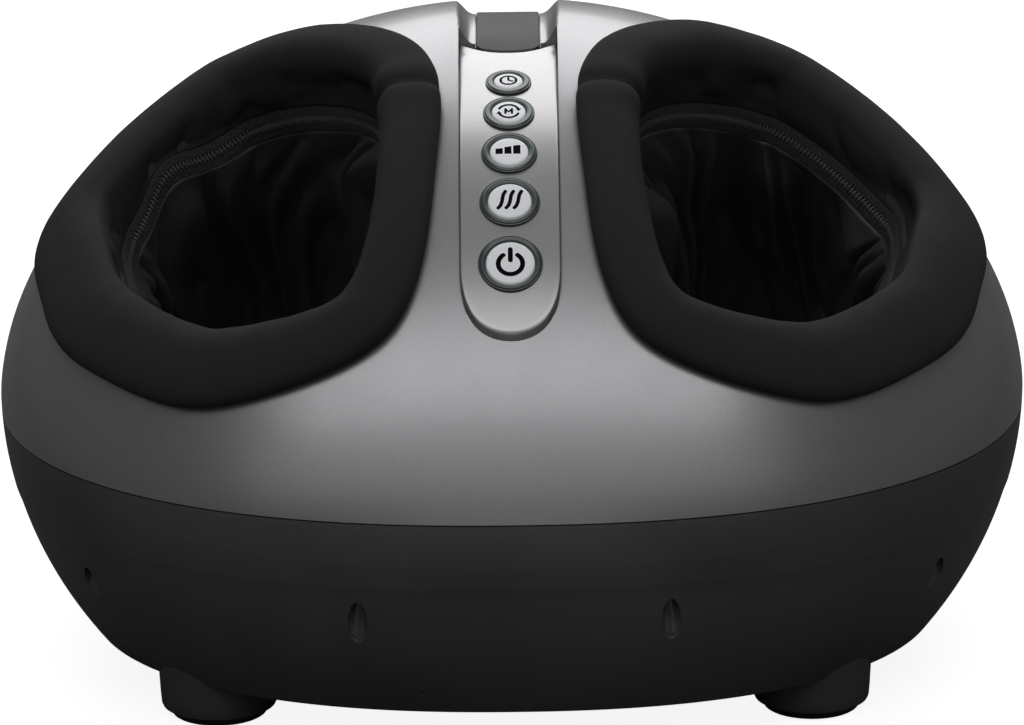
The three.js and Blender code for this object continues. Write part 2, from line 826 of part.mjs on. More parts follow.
function lowerHousingGeometry() {
  const floorTop = undersideHeight + wall;
  const cavity = innerBody.intersect(above(floorTop));
  const cupboard = outerBody.intersect(above(undersideHeight));
  let housing = cupboard;
  for (const leg of legPlaces) {
    const shape = cylinder(legRadius, footHeight + gap, undersideHeight + overrun / 3, 16, legTopRadius);
    housing = housing.add(solidOf(shape.translate(leg.x, leg.y, 0)));
  }
  housing = housing.subtract(cavity);
  const stand = (geometry) => {
    housing = housing.add(solidOf(geometry).intersect(cupboard));
  };
  for (const screw of screws) {
    stand(screw.place(cylinder(bossRadius, -2 * bossRadius, screw.seam + bossRadius, 8)));
  }
  for (const side of [-1, 1]) {
    for (const post of deckPosts(side)) {
      stand(cylinder(postRadius, undersideHeight, deckBottom - gap, 6).translate(post.x, post.y, 0));
    }
  }
  for (const head of headPlaces) {
    const boss = cylinder(hubRadius + wall, undersideHeight, hubFoot - gap, 8);
    stand(boss.translate(head.x, head.y, 0));
  }
  for (const y of [motorFront + saddleInset, motorFront + motorLength - saddleInset]) {
    stand(boxBetween(
      [-saddleHalf, y - saddleWidth / 2, undersideHeight],
      [saddleHalf, y + saddleWidth / 2, motorHeight - wall],
    ));
  }
  const bossShape = alongY(cylinder(inletBoss + wall, inletBack - inletLength / 2, bodyDepth, 18), 0, inletHeight);
  housing = housing.add(solidOf(bossShape).intersect(cupboard));
  const drill = (geometry) => {
    housing = housing.subtract(solidOf(geometry));
  };
  drill(alongY(cylinder(inletRadius + gap, inletBack - 2 * inletLength, bodyDepth, 16), 0, inletHeight));
  drill(alongY(cylinder(inletBoss, inletBack, bodyDepth, 18), 0, inletHeight));
  drill(alongY(cylinder(motorRadius + gap, motorFront - gap, motorFront + motorLength, 14), 0, motorHeight));
  for (const screw of screws) {
    drill(screw.place(cylinder(wellRadius, -overrun, wellDepth, 8)));
    drill(screw.place(cylinder(screwHole, 0, screw.seam + bossRadius, 6)));
  }
  const pinHole = bodyPoint(pinHoleAngleShare * Math.PI, pinHoleLevelShare, 0);
  drill(cylinder(pinHoleRadius, undersideHeight, pinHole.z + wall / 2, 8).translate(pinHole.x, pinHole.y, 0));
  return geometryOf(housing.subtract(above(seamHeight - gap, seamTiltShare)));
}

addPart('upper_shell', upperShellGeometry(), silver);
addPart('lower_housing', lowerHousingGeometry(), blackPlastic);

// Control panel plate with a hole for each bezel
function panelGeometry() {
  let panel = channelLoft(panelLowEnd - wall, panelHornEnd, panelStations, (y, steep) => {
    const top = channelHeight(y);
    const bottom = top - panelThickness / steep;
    return [[-panelHalfWidth, bottom], [panelHalfWidth, bottom], [panelHalfWidth, top], [-panelHalfWidth, top]];
  });
  panel = panel.intersect(panelPrism(0)).subtract(arcCylinder(0));
  for (const button of buttons) {
    const hole = cylinder(button.ring / 2 - bezelFlange, -overrun, overrun, 14);
    panel = panel.subtract(solidOf(buttonPlaced(hole, button)));
  }
  return geometryOf(panel);
}
addPart('control_panel', panelGeometry(), panelSilver);

function bezelGeometry(button) {
  const outer = button.ring / 2;
  const bore = button.disc / 2 + gap;
  const neck = outer - bezelFlange - gap;
  return buttonPlaced(turned([
    [bore, -panelThickness + gap],
    [neck, -panelThickness + gap],
    [neck, gap],
    [outer, gap],
    [outer - bezelStep, bezelHeight],
    [bore, bezelInnerHeight],
    [bore, -panelThickness + gap],
  ], 12), button);
}

function stemEnd(button) {
  const drop = button.point.clone().sub(firstSwitch).dot(boardOut) / button.out.dot(boardOut);
  return -drop + buttonTravel + switchGap;
}

function buttonGeometry(button) {
  const radius = button.disc / 2;
  const underside = buttonProud - buttonBody;
  return buttonPlaced(turned([
    [0, buttonProud + buttonCrown],
    [radius, buttonProud],
    [radius, underside],
    [stemRadius, underside],
    [stemRadius, stemEnd(button)],
    [0, stemEnd(button)],
  ].reverse(), 12), button);
}

for (const button of buttons) {
  addPart(`bezel_${button.name}`, bezelGeometry(button), ringGreen);
  addPart(`button_${button.name}`, buttonGeometry(button), discWhite);
}

addPart('control_board', boardGeometry(), boardGreen);

// Handle strip over the crown, joined to the hand grip at the back
function handleGeometry() {
  const strip = channelLoft(panelHighEnd, channelBackEnd, channelStations, (y, steep) => {
    const top = channelHeight(y);
    const bottom = top - stripThickness / steep;
    return [[-stripHalfWidth, bottom], [stripHalfWidth, bottom], [stripHalfWidth, top], [-stripHalfWidth, top]];
  });
  const length = behindArc(2 * gap).intersect(solidOf(boxBetween(
    [-bodyWidth, panelHighEnd, gripHigh],
    [bodyWidth, channelBackEnd - 2 * wall, skyHeight],
  )));
  const cup = gripBox(gripWall, bodyDepth).intersect(outerBody);
  return geometryOf(strip.intersect(length).add(cup).subtract(gripBox(0, bodyDepth)));
}
addPart('carry_handle', handleGeometry(), handlePlastic);

for (const side of [-1, 1]) {
  const hand = side < 0 ? 'left' : 'right';
  addPart(`collar_${hand}`, collarGeometry(side), fabricBlack);
  addPart(`zipper_${hand}`, zipperGeometry(side), zipperBlack);
  addPart(`foot_sleeve_${hand}`, sleeveGeometry(side), fabricBlack);
}

// Gear decks with their bearing lugs
function roundedPlate(low, high, corner, bottom, thickness) {
  const shape = new THREE.Shape();
  shape.absarc(high[0] - corner, high[1] - corner, corner, 0, Math.PI / 2);
  shape.absarc(low[0] + corner, high[1] - corner, corner, Math.PI / 2, Math.PI);
  shape.absarc(low[0] + corner, low[1] + corner, corner, Math.PI, 1.5 * Math.PI);
  shape.absarc(high[0] - corner, low[1] + corner, corner, 1.5 * Math.PI, 2 * Math.PI);
  const geometry = new THREE.ExtrudeGeometry(shape, { depth: thickness, bevelEnabled: false, curveSegments: 4 });
  return geometry.translate(0, 0, bottom);
}

const wormSide = headSide - wheelPitchRadius - wormPitchRadius;
const deckTop = deckBottom + deckThickness;

function deckGeometry(side) {
  const across = [deckInner * side, deckOuter * side].sort((a, b) => a - b);
  const plate = roundedPlate([across[0], deckFront], [across[1], deckBack], deckCorner, deckBottom, deckThickness);
  let deck = solidOf(plate);
  const lugCentres = [deckFront + bearingWidth / 2, shaftBack - bearingWidth];
  for (const y of lugCentres) {
    deck = deck.add(solidOf(boxBetween(
      [wormSide * side - bearingHalf, y - bearingWidth / 2, wormHeight - bearingHalf],
      [wormSide * side + bearingHalf, y + bearingWidth / 2, deckBottom + gap],
    )));
  }
  deck = deck.subtract(solidOf(alongY(cylinder(bearingBore, -bodyDepth, bodyDepth, 8), wormSide * side, wormHeight)));
  for (const head of headPlaces.filter((place) => place.side === side)) {
    const bore = cylinder(hubRadius + 2 * gap, 0, bodyDepth, 8).translate(head.x, head.y, 0);
    deck = deck.subtract(solidOf(bore));
  }
  return geometryOf(deck);
}

// Kneading head: a disc on a hub with three nodules
function headGeometry(head) {
  const discTop = deckTop + gap + headDiscThickness;
  let solid = solidOf(turned([
    [0, hubFoot],
    [hubRadius, hubFoot],
    [hubRadius, deckTop + gap],
    [headDiscRadius, deckTop + gap],
    [headDiscRadius, discTop],
    [0, discTop + gap],
  ], 12));
  const shoulder = noduleTop - noduleRadius;
  for (let i = 0; i < noduleCount; i += 1) {
    const angle = (i / noduleCount) * 2 * Math.PI + Math.PI / 2;
    const nodule = turned([
      [0, deckTop + 2 * gap],
      [noduleRadius, deckTop + 2 * gap],
      [noduleRadius, shoulder],
      [noduleRadius * noduleShoulderShare, shoulder + noduleRadius * noduleShoulderShare],
      [0, noduleTop],
    ], 6);
    nodule.translate(noduleCircle * Math.cos(angle), noduleCircle * Math.sin(angle), 0);
    solid = solid.add(solidOf(nodule));
  }
  return geometryOf(solid).translate(head.x, head.y, 0);
}

// Worm wheel with teeth set at the worm's lead angle
const threadLead = 2 * Math.PI * wheelPitchRadius / wheelTeeth;
const leadSlope = threadLead / (2 * Math.PI * wormPitchRadius);

function wheelGeometry(head) {
  const tip = wheelPitchRadius + toothAddendum;
  const root = wheelPitchRadius - toothDedendum;
  const tipHalf = (toothHalf - toothAddendum * flankShare) / wheelPitchRadius;
  const rootHalf = (toothHalf + toothDedendum * flankShare) / wheelPitchRadius;
  const rings = [-1, 1].map((end) => {
    const height = end * wheelThickness / 2;
    const twist = leadSlope * height / wheelPitchRadius;
    const ring = [];
    for (let tooth = 0; tooth < wheelTeeth; tooth += 1) {
      const middle = (tooth + 0.5) / wheelTeeth * 2 * Math.PI + twist;
      const corners = [[root, -rootHalf], [tip, -tipHalf], [tip, tipHalf], [root, rootHalf]];
      for (const [radius, turn] of corners) {
        const angle = middle + turn;
        ring.push(new THREE.Vector3(radius * Math.cos(angle), radius * Math.sin(angle), wormHeight + height));
      }
    }
    return ring;
  });
  const bore = cylinder(hubRadius + 2 * gap, 0, bodyDepth, 8);
  return geometryOf(solidOf(loft(rings)).subtract(solidOf(bore))).translate(head.x, head.y, 0);
}

// Worm shaft: a thread of two turns at each wheel, with its crest level with the wheel's middle
function threadSolid(side, y) {
  const stepsPerTurn = 7;
  const steps = Math.round(wormTurns * stepsPerTurn);
  const tip = wormPitchRadius + toothAddendum;
  const root = wormPitchRadius - toothDedendum - gap;
  const tipHalf = threadHalf - toothAddendum * flankShare;
  const rootHalf = threadHalf + toothDedendum * flankShare;
  const rings = [];
  for (let i = 0; i <= steps; i += 1) {
    const turn = (i / steps - 1 / 2) * wormTurns;
    const angle = side * Math.PI / 2 + turn * 2 * Math.PI;
    const middle = y + threadLead * turn;
    const corners = [[root, -rootHalf], [tip, -tipHalf], [tip, tipHalf], [root, rootHalf]];
    rings.push(corners.map(([radius, along]) => new THREE.Vector3(
      radius * Math.sin(angle),
      middle + along,
      radius * Math.cos(angle),
    )));
  }
  return solidOf(loft(rings));
}

function wormShaftGeometry(side) {
  const core = wormPitchRadius - toothDedendum;
  let shaft = solidOf(alongY(cylinder(shaftRadius, shaftFront, shaftBack, 8), 0, 0));
  for (const head of headPlaces.filter((place) => place.side === side)) {
    const half = threadLead * (wormTurns / 2 + 0.5);
    const body = alongY(cylinder(core, head.y - half, head.y + half, 8), 0, 0);
    shaft = shaft.add(solidOf(body)).add(threadSolid(side, head.y));
  }
  return geometryOf(shaft).translate(wormSide * side, 0, wormHeight);
}

function pulleyProfile(radius, bore) {
  const back = pulleyFront + pulleyWidth;
  return [
    [bore, pulleyFront],
    [radius + pulleyRim, pulleyFront],
    [radius + pulleyRim, pulleyFront + pulleyRimWidth],
    [radius, pulleyFront + pulleyRimWidth],
    [radius, back - pulleyRimWidth],
    [radius + pulleyRim, back - pulleyRimWidth],
    [radius + pulleyRim, back],
    [bore, back],
    [bore, pulleyFront],
  ];
}

for (const side of [-1, 1]) {
  const hand = side < 0 ? 'left' : 'right';
  addPart(`gear_deck_${hand}`, deckGeometry(side), deckGrey);
  addPart(`worm_shaft_${hand}`, wormShaftGeometry(side), steel);
  const pulley = turned(pulleyProfile(drivenPulleyRadius, shaftRadius + gap), 16);
  addPart(`driven_pulley_${hand}`, alongY(pulley, wormSide * side, wormHeight), gearWhite);
}
for (const head of headPlaces) {
  addPart(`kneading_head_${head.label}`, headGeometry(head), noduleGrey);
  addPart(`worm_wheel_${head.label}`, wheelGeometry(head), gearWhite);
}

// Motor, its shaft with the small pulley, and the belt round all three pulleys
function motorGeometry() {
  const back = motorFront + motorLength;
  const bevel = wall;
  return alongY(turned([
    [0, motorFront + motorShaftDepth + wall],
    [motorShaftRadius + gap, motorFront + motorShaftDepth + wall],
    [motorShaftRadius + gap, motorFront],
    [motorRadius - bevel, motorFront],
    [motorRadius, motorFront + bevel],
    [motorRadius, back - bevel],
    [motorRadius - bevel, back],
    [0, back],
  ], 14), 0, motorHeight);
}

function motorPulleyGeometry() {
  const back = pulleyFront + pulleyWidth;
  const rim = pulleyProfile(motorPulleyRadius, 0).slice(0, -2);
  return alongY(turned([
    ...rim,
    [motorShaftRadius, back],
    [motorShaftRadius, motorFront + motorShaftDepth],
    [0, motorFront + motorShaftDepth],
  ], 12), 0, motorHeight);
}

function beltGeometry() {
  const front = pulleyFront + (pulleyWidth - beltWidth) / 2;
  const pulleys = [
    { x: -wormSide, z: wormHeight, radius: drivenPulleyRadius },
    { x: wormSide, z: wormHeight, radius: drivenPulleyRadius },
    { x: 0, z: motorHeight, radius: motorPulleyRadius },
  ];
  const outline = (growth) => {
    const points = [];
    pulleys.forEach((pulley, i) => {
      const last = pulleys[(i + 2) % 3];
      const next = pulleys[(i + 1) % 3];
      const from = tangentAngle(last, pulley);
      let to = tangentAngle(pulley, next);
      while (to < from) to += 2 * Math.PI;
      const arcSteps = 10;
      for (let k = 0; k <= arcSteps; k += 1) {
        const angle = THREE.MathUtils.lerp(from, to, k / arcSteps);
        const radius = pulley.radius + growth;
        points.push(new THREE.Vector2(pulley.x + radius * Math.cos(angle), pulley.z + radius * Math.sin(angle)));
      }
    });
    return points;
  };
  const shape = new THREE.Shape(outline(gap + beltThickness));
  shape.holes.push(new THREE.Path(outline(gap)));
  const geometry = new THREE.ExtrudeGeometry(shape, { depth: beltWidth, bevelEnabled: false });
  return geometry.rotateX(Math.PI / 2).translate(0, front + beltWidth, 0);
}

// Direction from each pulley's centre to where the belt's outer straight run leaves it
function tangentAngle(a, b) {
  const heading = Math.atan2(b.z - a.z, b.x - a.x);
  const distance = Math.hypot(b.x - a.x, b.z - a.z);
  return heading - Math.PI / 2 + Math.asin((b.radius - a.radius) / distance) * -1;
}

addPart('motor', motorGeometry(), steel);
addPart('motor_pulley', motorPulleyGeometry(), brass);
addPart('drive_belt', beltGeometry(), rubberBlack);

// Air pump with two outlet nipples, airbags over the toes, and their hoses
const pumpTop = undersideHeight + wall + gap + pumpHeight;

function pumpGeometry() {
  const half = [pumpWidth / 2, pumpLength / 2];
  const plate = roundedPlate(
    [-half[0], pumpBack - half[1]],
    [half[0], pumpBack + half[1]],
    pumpCorner,
    undersideHeight + wall + gap,
    pumpHeight,
  );
  let pump = solidOf(plate);
  for (const side of [-1, 1]) {
    const nipple = cylinder(nippleRadius, pumpTop - wall, pumpTop + nippleLength, 10);
    pump = pump.add(solidOf(nipple.translate(nippleSpread * side, pumpBack, 0)));
  }
  return geometryOf(pump);
}

function airbagFrame(side) {
  return {
    origin: new THREE.Vector3(sleeveSide * side, airbagBack, airbagHeight),
    up: new THREE.Vector3(0, Math.cos(airbagTilt), Math.sin(airbagTilt)),
    out: new THREE.Vector3(0, -Math.sin(airbagTilt), Math.cos(airbagTilt)),
  };
}

function airbagGeometry(side) {
  const outlineSteps = 18;
  const layer = (widthShare, height) => Array.from({ length: outlineSteps }, (_, i) => {
    const angle = i / outlineSteps * 2 * Math.PI;
    const x = airbagWidth / 2 * widthShare * signedPower(Math.cos(angle), 2 / airbagCornerPower);
    const y = airbagLength / 2 * widthShare * signedPower(Math.sin(angle), 2 / airbagCornerPower);
    return new THREE.Vector3(x, y, height);
  });
  const half = airbagThickness / 2;
  const rings = [
    layer(airbagFaceShare, -half),
    layer(airbagEdgeShare, -half * airbagEdgeHeightShare),
    layer(1, 0),
    layer(airbagEdgeShare, half * airbagEdgeHeightShare),
    layer(airbagFaceShare, half),
  ];
  const frame = airbagFrame(side);
  return basis(loft(rings), frame.origin, openingAcross, frame.up, frame.out);
}

function hoseGeometry(side) {
  const frame = airbagFrame(side);
  const start = new THREE.Vector3(nippleSpread * side, pumpBack, pumpTop + nippleLength + gap);
  const end = frame.origin.clone();
  end.x -= side * (airbagWidth / 2 + gap);
  const rise = overrun / 2;
  const curve = new THREE.CatmullRomCurve3([
    start,
    start.clone().setZ(start.z + rise),
    new THREE.Vector3((start.x + end.x) / 2, (start.y + end.y) / 2, end.z),
    end.clone().setX(end.x - side * rise / 2),
    end,
  ]);
  const sides = 8;
  const circle = new THREE.Shape(Array.from({ length: sides }, (_, i) => {
    const angle = i / sides * 2 * Math.PI;
    return new THREE.Vector2(hoseRadius * Math.cos(angle), hoseRadius * Math.sin(angle));
  }));
  return new THREE.ExtrudeGeometry(circle, { steps: 9, bevelEnabled: false, extrudePath: curve });
}

addPart('air_pump', pumpGeometry(), blackPlastic);
for (const side of [-1, 1]) {
  const hand = side < 0 ? 'left' : 'right';
  addPart(`airbag_${hand}`, airbagGeometry(side), airbagBlue);
  addPart(`air_hose_${hand}`, hoseGeometry(side), hoseClear);
}

// Power inlet: a round socket with a centre pin, flange outside
function inletGeometry() {
  const front = inletBack - inletLength;
  const floor = inletBack + gap - inletSocketDepth;
  const face = inletBack + gap + inletFlangeThickness;
  return alongY(turned([
    [0, front],
    [inletRadius, front],
    [inletRadius, inletBack + gap],
    [inletFlange, inletBack + gap],
    [inletFlange, face],
    [inletSocket, face],
    [inletSocket, floor],
    [inletPin, floor],
    [inletPin, inletBack],
    [0, inletBack],
  ], 12), 0, inletHeight);
}
addPart('power_inlet', inletGeometry(), blackPlastic);

// Rubber feet and housing screws
for (const leg of legPlaces) {
  const pad = turned([
    [0, 0],
    [padRadius - padRounding, 0],
    [padRadius, padRounding],
    [padRadius, footHeight],
    [0, footHeight],
  ], 16);
  addPart(`rubber_foot_${leg.label}`, pad.translate(leg.x, leg.y, 0), rubberBlack);
}
for (const screw of screws) {
  const shape = turned([
    [0, wellDepth - screwHeadHeight - gap],
    [screwHeadRadius, wellDepth - screwHeadHeight - gap],
    [screwHeadRadius, wellDepth - gap],
    [screwShank, wellDepth - gap],
    [screwShank, screw.seam + screwBite - gap],
    [0, screw.seam + screwBite - gap],
  ], 6);
  addPart(`screw_${screw.label}`, screw.place(shape), steel);
}

export default massager;
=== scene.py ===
"""Looks of the foot massager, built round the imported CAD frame. Lengths are in mm until a mesh is made."""
import json
import math

import bmesh
import bpy
import numpy as np
from mathutils import Matrix, Vector, noise


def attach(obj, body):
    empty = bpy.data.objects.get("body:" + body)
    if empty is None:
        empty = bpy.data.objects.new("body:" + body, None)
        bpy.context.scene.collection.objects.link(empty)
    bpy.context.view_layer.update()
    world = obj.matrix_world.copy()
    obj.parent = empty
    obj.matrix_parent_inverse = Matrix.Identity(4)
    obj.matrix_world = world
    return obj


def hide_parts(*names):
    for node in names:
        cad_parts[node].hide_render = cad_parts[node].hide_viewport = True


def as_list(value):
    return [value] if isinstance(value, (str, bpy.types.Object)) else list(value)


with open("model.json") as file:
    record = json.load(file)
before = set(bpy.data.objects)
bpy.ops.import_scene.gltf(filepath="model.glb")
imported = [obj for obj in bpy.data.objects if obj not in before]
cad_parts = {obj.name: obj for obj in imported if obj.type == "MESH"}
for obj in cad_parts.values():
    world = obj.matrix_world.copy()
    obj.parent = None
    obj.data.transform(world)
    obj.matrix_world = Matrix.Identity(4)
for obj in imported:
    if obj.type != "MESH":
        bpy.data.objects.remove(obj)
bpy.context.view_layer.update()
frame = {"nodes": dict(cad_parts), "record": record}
BODY = "massager_body"
MM = 0.001
TURN = 2 * math.pi
SIDES = ((-1, "left"), (1, "right"))


def link(name, data):
    thing = bpy.data.objects.new(name, data)
    bpy.context.scene.collection.objects.link(thing)
    return thing


# Camera at the photograph's viewpoint
ELEVATION, ROLL = math.radians(16), math.radians(-0.654)
DISTANCE, TARGET_HEIGHT, PHOTO_WIDTH = 2300.0, 135.0, 1024
eye = Vector((0, -DISTANCE * math.cos(ELEVATION), TARGET_HEIGHT + DISTANCE * math.sin(ELEVATION)))
camera_data = bpy.data.cameras.new("photo_camera")
camera_data.sensor_width = 36.0
camera_data.lens = 191.52
camera_data.shift_x = 0.96 / PHOTO_WIDTH
camera_data.shift_y = -47.25 / PHOTO_WIDTH
camera_data.clip_end = 50
camera = link("photo_camera", camera_data)
camera.matrix_world = (
    Matrix.Translation(eye * MM)
    @ Matrix.Rotation(math.pi / 2 - ELEVATION, 4, "X")
    @ Matrix.Rotation(ROLL, 4, "Z")
)
bpy.context.scene.camera = camera

# Egg shaped body, as in the CAD source
W, D = 430.0, 375.0
WAIST, TILT = 114.0, 0.149
DOME, BOWL = 149.6, 170.7
PLAN_P, DOME_P, BOWL_P = 2.28, 1.654, 1.93
UNDERSIDE, SEAM, SEAM_TILT = 19.0, 106.0, 0.021
WALL, GAP = 3.0, 0.3
ACROSS, FLAT = np.array([1.0, 0, 0]), np.array([1, 1, 0])
PROBE, HALVINGS, ON_SKIN, FACING = 0.03, 34, 0.004, 0.95


def signed_power(value, power):
    return np.sign(value) * np.abs(value) ** power


def body_ring(angle, level, inset=0.0):
    power = DOME_P if level >= 0 else BOWL_P
    reach = (DOME if level >= 0 else BOWL) - inset
    spread = max(1 - abs(level) ** power, 0) ** (1 / power)
    x = (W / 2 - inset) * spread * signed_power(np.cos(angle), 2 / PLAN_P)
    y = (D / 2 - inset) * spread * signed_power(np.sin(angle), 2 / PLAN_P)
    return np.stack([x, y, WAIST + TILT * y + reach * level], -1)


def plan_reach(x, y, inset=0.0):
    a = np.abs(x / (W / 2 - inset)) ** PLAN_P + np.abs(y / (D / 2 - inset)) ** PLAN_P
    return a ** (1 / PLAN_P)


def dome_height(x, y, inset=0.0):
    reach = np.minimum(plan_reach(x, y, inset), 1)
    return WAIST + TILT * y + (DOME - inset) * (1 - reach**DOME_P) ** (1 / DOME_P)


def inside(points):
    rise = points[:, 2] - WAIST - TILT * points[:, 1]
    power = np.where(rise >= 0, DOME_P, BOWL_P)
    level = np.abs(rise) / np.where(rise >= 0, DOME, BOWL)
    return plan_reach(points[:, 0], points[:, 1]) ** power + level**power - 1


def egg_normal(points):
    return unit(np.stack([inside(points + d) - inside(points - d) for d in np.eye(3) * PROBE], -1))


def onto_dome(start, direction):
    near, far = np.zeros(len(start)), np.full(len(start), W)
    for _ in range(HALVINGS):
        middle = (near + far) / 2
        within = inside(start + direction * middle[:, None]) < 0
        near, far = np.where(within, middle, near), np.where(within, far, middle)
    return start + direction * ((near + far) / 2)[:, None]


def unit(v):
    return v / np.linalg.norm(v, axis=-1, keepdims=True)


def ease(value):
    held = np.clip(value, 0, 1)
    return held * held * (3 - 2 * held)


def bell(value, middle, width):
    return np.exp(-(((value - middle) / width) ** 2))


def tilted(tilt):
    """Ways up along and out of a plane that rises towards the back."""
    return np.array([0, math.cos(tilt), math.sin(tilt)]), np.array([0, -math.sin(tilt), math.cos(tilt)])


# Mesh making
SHARP = 28


def shade(mesh, angle=None):
    mesh.shade_smooth()
    if angle:
        mesh.set_sharp_from_angle(angle=math.radians(angle))


def make(name, points, faces, sharp=None):
    mesh = bpy.data.meshes.new(name)
    mesh.from_pydata((np.asarray(points, float) * MM).tolist(), [], faces)
    mesh.update()
    shade(mesh, sharp)
    return link(name, mesh)


def ring_quads(a, b, count):
    """Quads between two closed rings whose first points are a and b."""
    steps = [(j, (j + 1) % count) for j in range(count)]
    return [(a + j, a + k, b + k, b + j) for j, k in steps]


def loft_data(rings, closed=False):
    count = len(rings[0])
    points = np.concatenate(rings)
    spans = len(rings) if closed else len(rings) - 1
    faces = []
    for i in range(spans):
        faces += ring_quads(i * count, (i + 1) % len(rings) * count, count)
    if not closed:
        last = (len(rings) - 1) * count
        points = np.concatenate([points, [rings[0].mean(0)], [rings[-1].mean(0)]])
        start, end = len(points) - 2, len(points) - 1
        for j in range(count):
            k = (j + 1) % count
            faces += [(start, k, j), (end, last + j, last + k)]
    volume = 0.0
    for f in faces:
        for m in range(1, len(f) - 1):
            volume += np.dot(points[f[0]], np.cross(points[f[m]], points[f[m + 1]]))
    if volume < 0:
        faces = [tuple(reversed(f)) for f in faces]
    return points, faces


def loft(name, rings, closed=False, sharp=None):
    return make(name, *loft_data(rings, closed), sharp=sharp)


def cutter(rings):
    return loft("cutter", rings)


def placed(points, origin, across, up, out):
    points = np.asarray(points, float)
    return origin + points[:, :1] * across + points[:, 1:2] * up + points[:, 2:] * out


def placed_rings(rings, place):
    return [placed(ring, *place) for ring in rings]


def shifted(rings, x, y):
    return [ring + np.array([x, y, 0]) for ring in rings]


def lathe_rings(profile, sides):
    turn = np.arange(sides) / sides * TURN
    return [np.stack([r * np.cos(turn), r * np.sin(turn), np.full(sides, z)], -1) for r, z in profile]


def round_bar(radius, low, high, sides):
    return lathe_rings(((radius, low), (radius, high)), sides)


def box_rings(low, high):
    ring = np.array([[low[0], low[1]], [high[0], low[1]], [high[0], high[1]], [low[0], high[1]]])
    return [np.column_stack([ring, np.full(4, z)]) for z in (low[2], high[2])]


def combine(target, tools, operation="DIFFERENCE"):
    for tool in tools:
        cut = target.modifiers.new("cut", "BOOLEAN")
        cut.operation = operation
        cut.object = tool
        cut.solver = "MANIFOLD"
    graph = bpy.context.evaluated_depsgraph_get()
    made = bpy.data.meshes.new_from_object(target.evaluated_get(graph))
    old = target.data
    target.modifiers.clear()
    target.data = made
    made.name = target.name
    bpy.data.meshes.remove(old)
    for tool in tools:
        bpy.data.meshes.remove(tool.data)
    return target


def array_of(collection, key, width):
    values = np.zeros(len(collection) * width, np.float32)
    collection.foreach_get(key, values)
    return values.reshape(-1, width)


def true_normals(piece, angle=SHARP):
    """Corners that lie on the egg take the egg's own normal, so cuts leave no shading marks."""
    mesh = piece.data
    shade(mesh, angle)
    normals = array_of(mesh.corner_normals, "vector", 3)
    points = array_of(mesh.vertices, "co", 3).astype(float) / MM
    where = np.zeros(len(mesh.loops), np.int32)
    mesh.loops.foreach_get("vertex_index", where)
    flat = array_of(mesh.polygons, "normal", 3)
    count = np.zeros(len(mesh.polygons), np.int32)
    mesh.polygons.foreach_get("loop_total", count)
    flat = np.repeat(flat, count, axis=0)
    on = np.abs(inside(points)) < ON_SKIN
    smooth = egg_normal(points).astype(np.float32)
    use = on[where] & ((smooth[where] * flat).sum(1) > FACING)
    normals[use] = smooth[where][use]
    mesh.normals_split_custom_set(normals.tolist())


def dress(piece, slot, body=BODY, look=None):
    piece.data.materials.clear()
    piece.data.materials.append(LOOKS[look or slot])
    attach(piece, body)


# Materials
class Nodes:
    def __init__(self, name, color, roughness, metallic=0.0, **more):
        self.material = bpy.data.materials.new(name)
        self.material.use_nodes = True
        self.tree = self.material.node_tree
        self.shader = self.tree.nodes["Principled BSDF"]
        self.set("Base Color", (*color, 1))
        self.set("Roughness", roughness)
        self.set("Metallic", metallic)
        for key, value in more.items():
            self.set(key.replace("_", " "), value)
        self.last_bump = None
        self.coords = self.add("ShaderNodeTexCoord").outputs["Object"]

    def set(self, socket, value):
        self.shader.inputs[socket].default_value = value

    def add(self, kind, **values):
        node = self.tree.nodes.new(kind)
        for key, value in values.items():
            setattr(node, key, value)
        return node

    def join(self, a, b):
        self.tree.links.new(a, b)

    def texture(self, kind, stretch, inputs, **values):
        """Texture over the object's own coordinates, stretched along the axes."""
        mapping = self.add("ShaderNodeMapping")
        mapping.inputs["Scale"].default_value = stretch
        self.join(self.coords, mapping.inputs["Vector"])
        node = self.add(kind, **values)
        for key, value in inputs.items():
            node.inputs[key].default_value = value
        self.join(mapping.outputs["Vector"], node.inputs["Vector"])
        return node.outputs["Fac"]

    def noise(self, scale, detail=3.0, stretch=(1, 1, 1), rough=0.5):
        inputs = {"Scale": scale, "Detail": detail, "Roughness": rough}
        return self.texture("ShaderNodeTexNoise", stretch, inputs)

    def wave(self, scale, direction, distortion, stretch):
        inputs = {"Scale": scale, "Distortion": distortion}
        return self.texture("ShaderNodeTexWave", stretch, inputs, bands_direction=direction)

    def ramp(self, fac, stops):
        node = self.add("ShaderNodeValToRGB")
        ramp = node.color_ramp
        while len(ramp.elements) < len(stops):
            ramp.elements.new(0.5)
        for element, (position, color) in zip(ramp.elements, stops):
            element.position = position
            element.color = (*color, 1)
        self.join(fac, node.inputs["Fac"])
        return node.outputs["Color"]

    def tint(self, fac, low, high, at=(0.35, 0.65)):
        self.join(self.ramp(fac, ((at[0], low), (at[1], high))), self.shader.inputs["Base Color"])

    def vary(self, socket, fac, low, high):
        node = self.add("ShaderNodeMapRange")
        node.inputs["To Min"].default_value = low
        node.inputs["To Max"].default_value = high
        self.join(fac, node.inputs["Value"])
        self.join(node.outputs["Result"], self.shader.inputs[socket])

    def math(self, operation, a, b):
        node = self.add("ShaderNodeMath", operation=operation)
        for socket, value in zip(node.inputs, (a, b)):
            if isinstance(value, (int, float)):
                socket.default_value = value
            else:
                self.join(value, socket)
        return node.outputs["Value"]

    def bump(self, height, depth, strength=1.0):
        node = self.add("ShaderNodeBump")
        node.inputs["Strength"].default_value = strength
        node.inputs["Distance"].default_value = depth * MM
        self.join(height, node.inputs["Height"])
        if self.last_bump:
            self.join(self.last_bump, node.inputs["Normal"])
        self.last_bump = node.outputs["Normal"]
        self.join(self.last_bump, self.shader.inputs["Normal"])


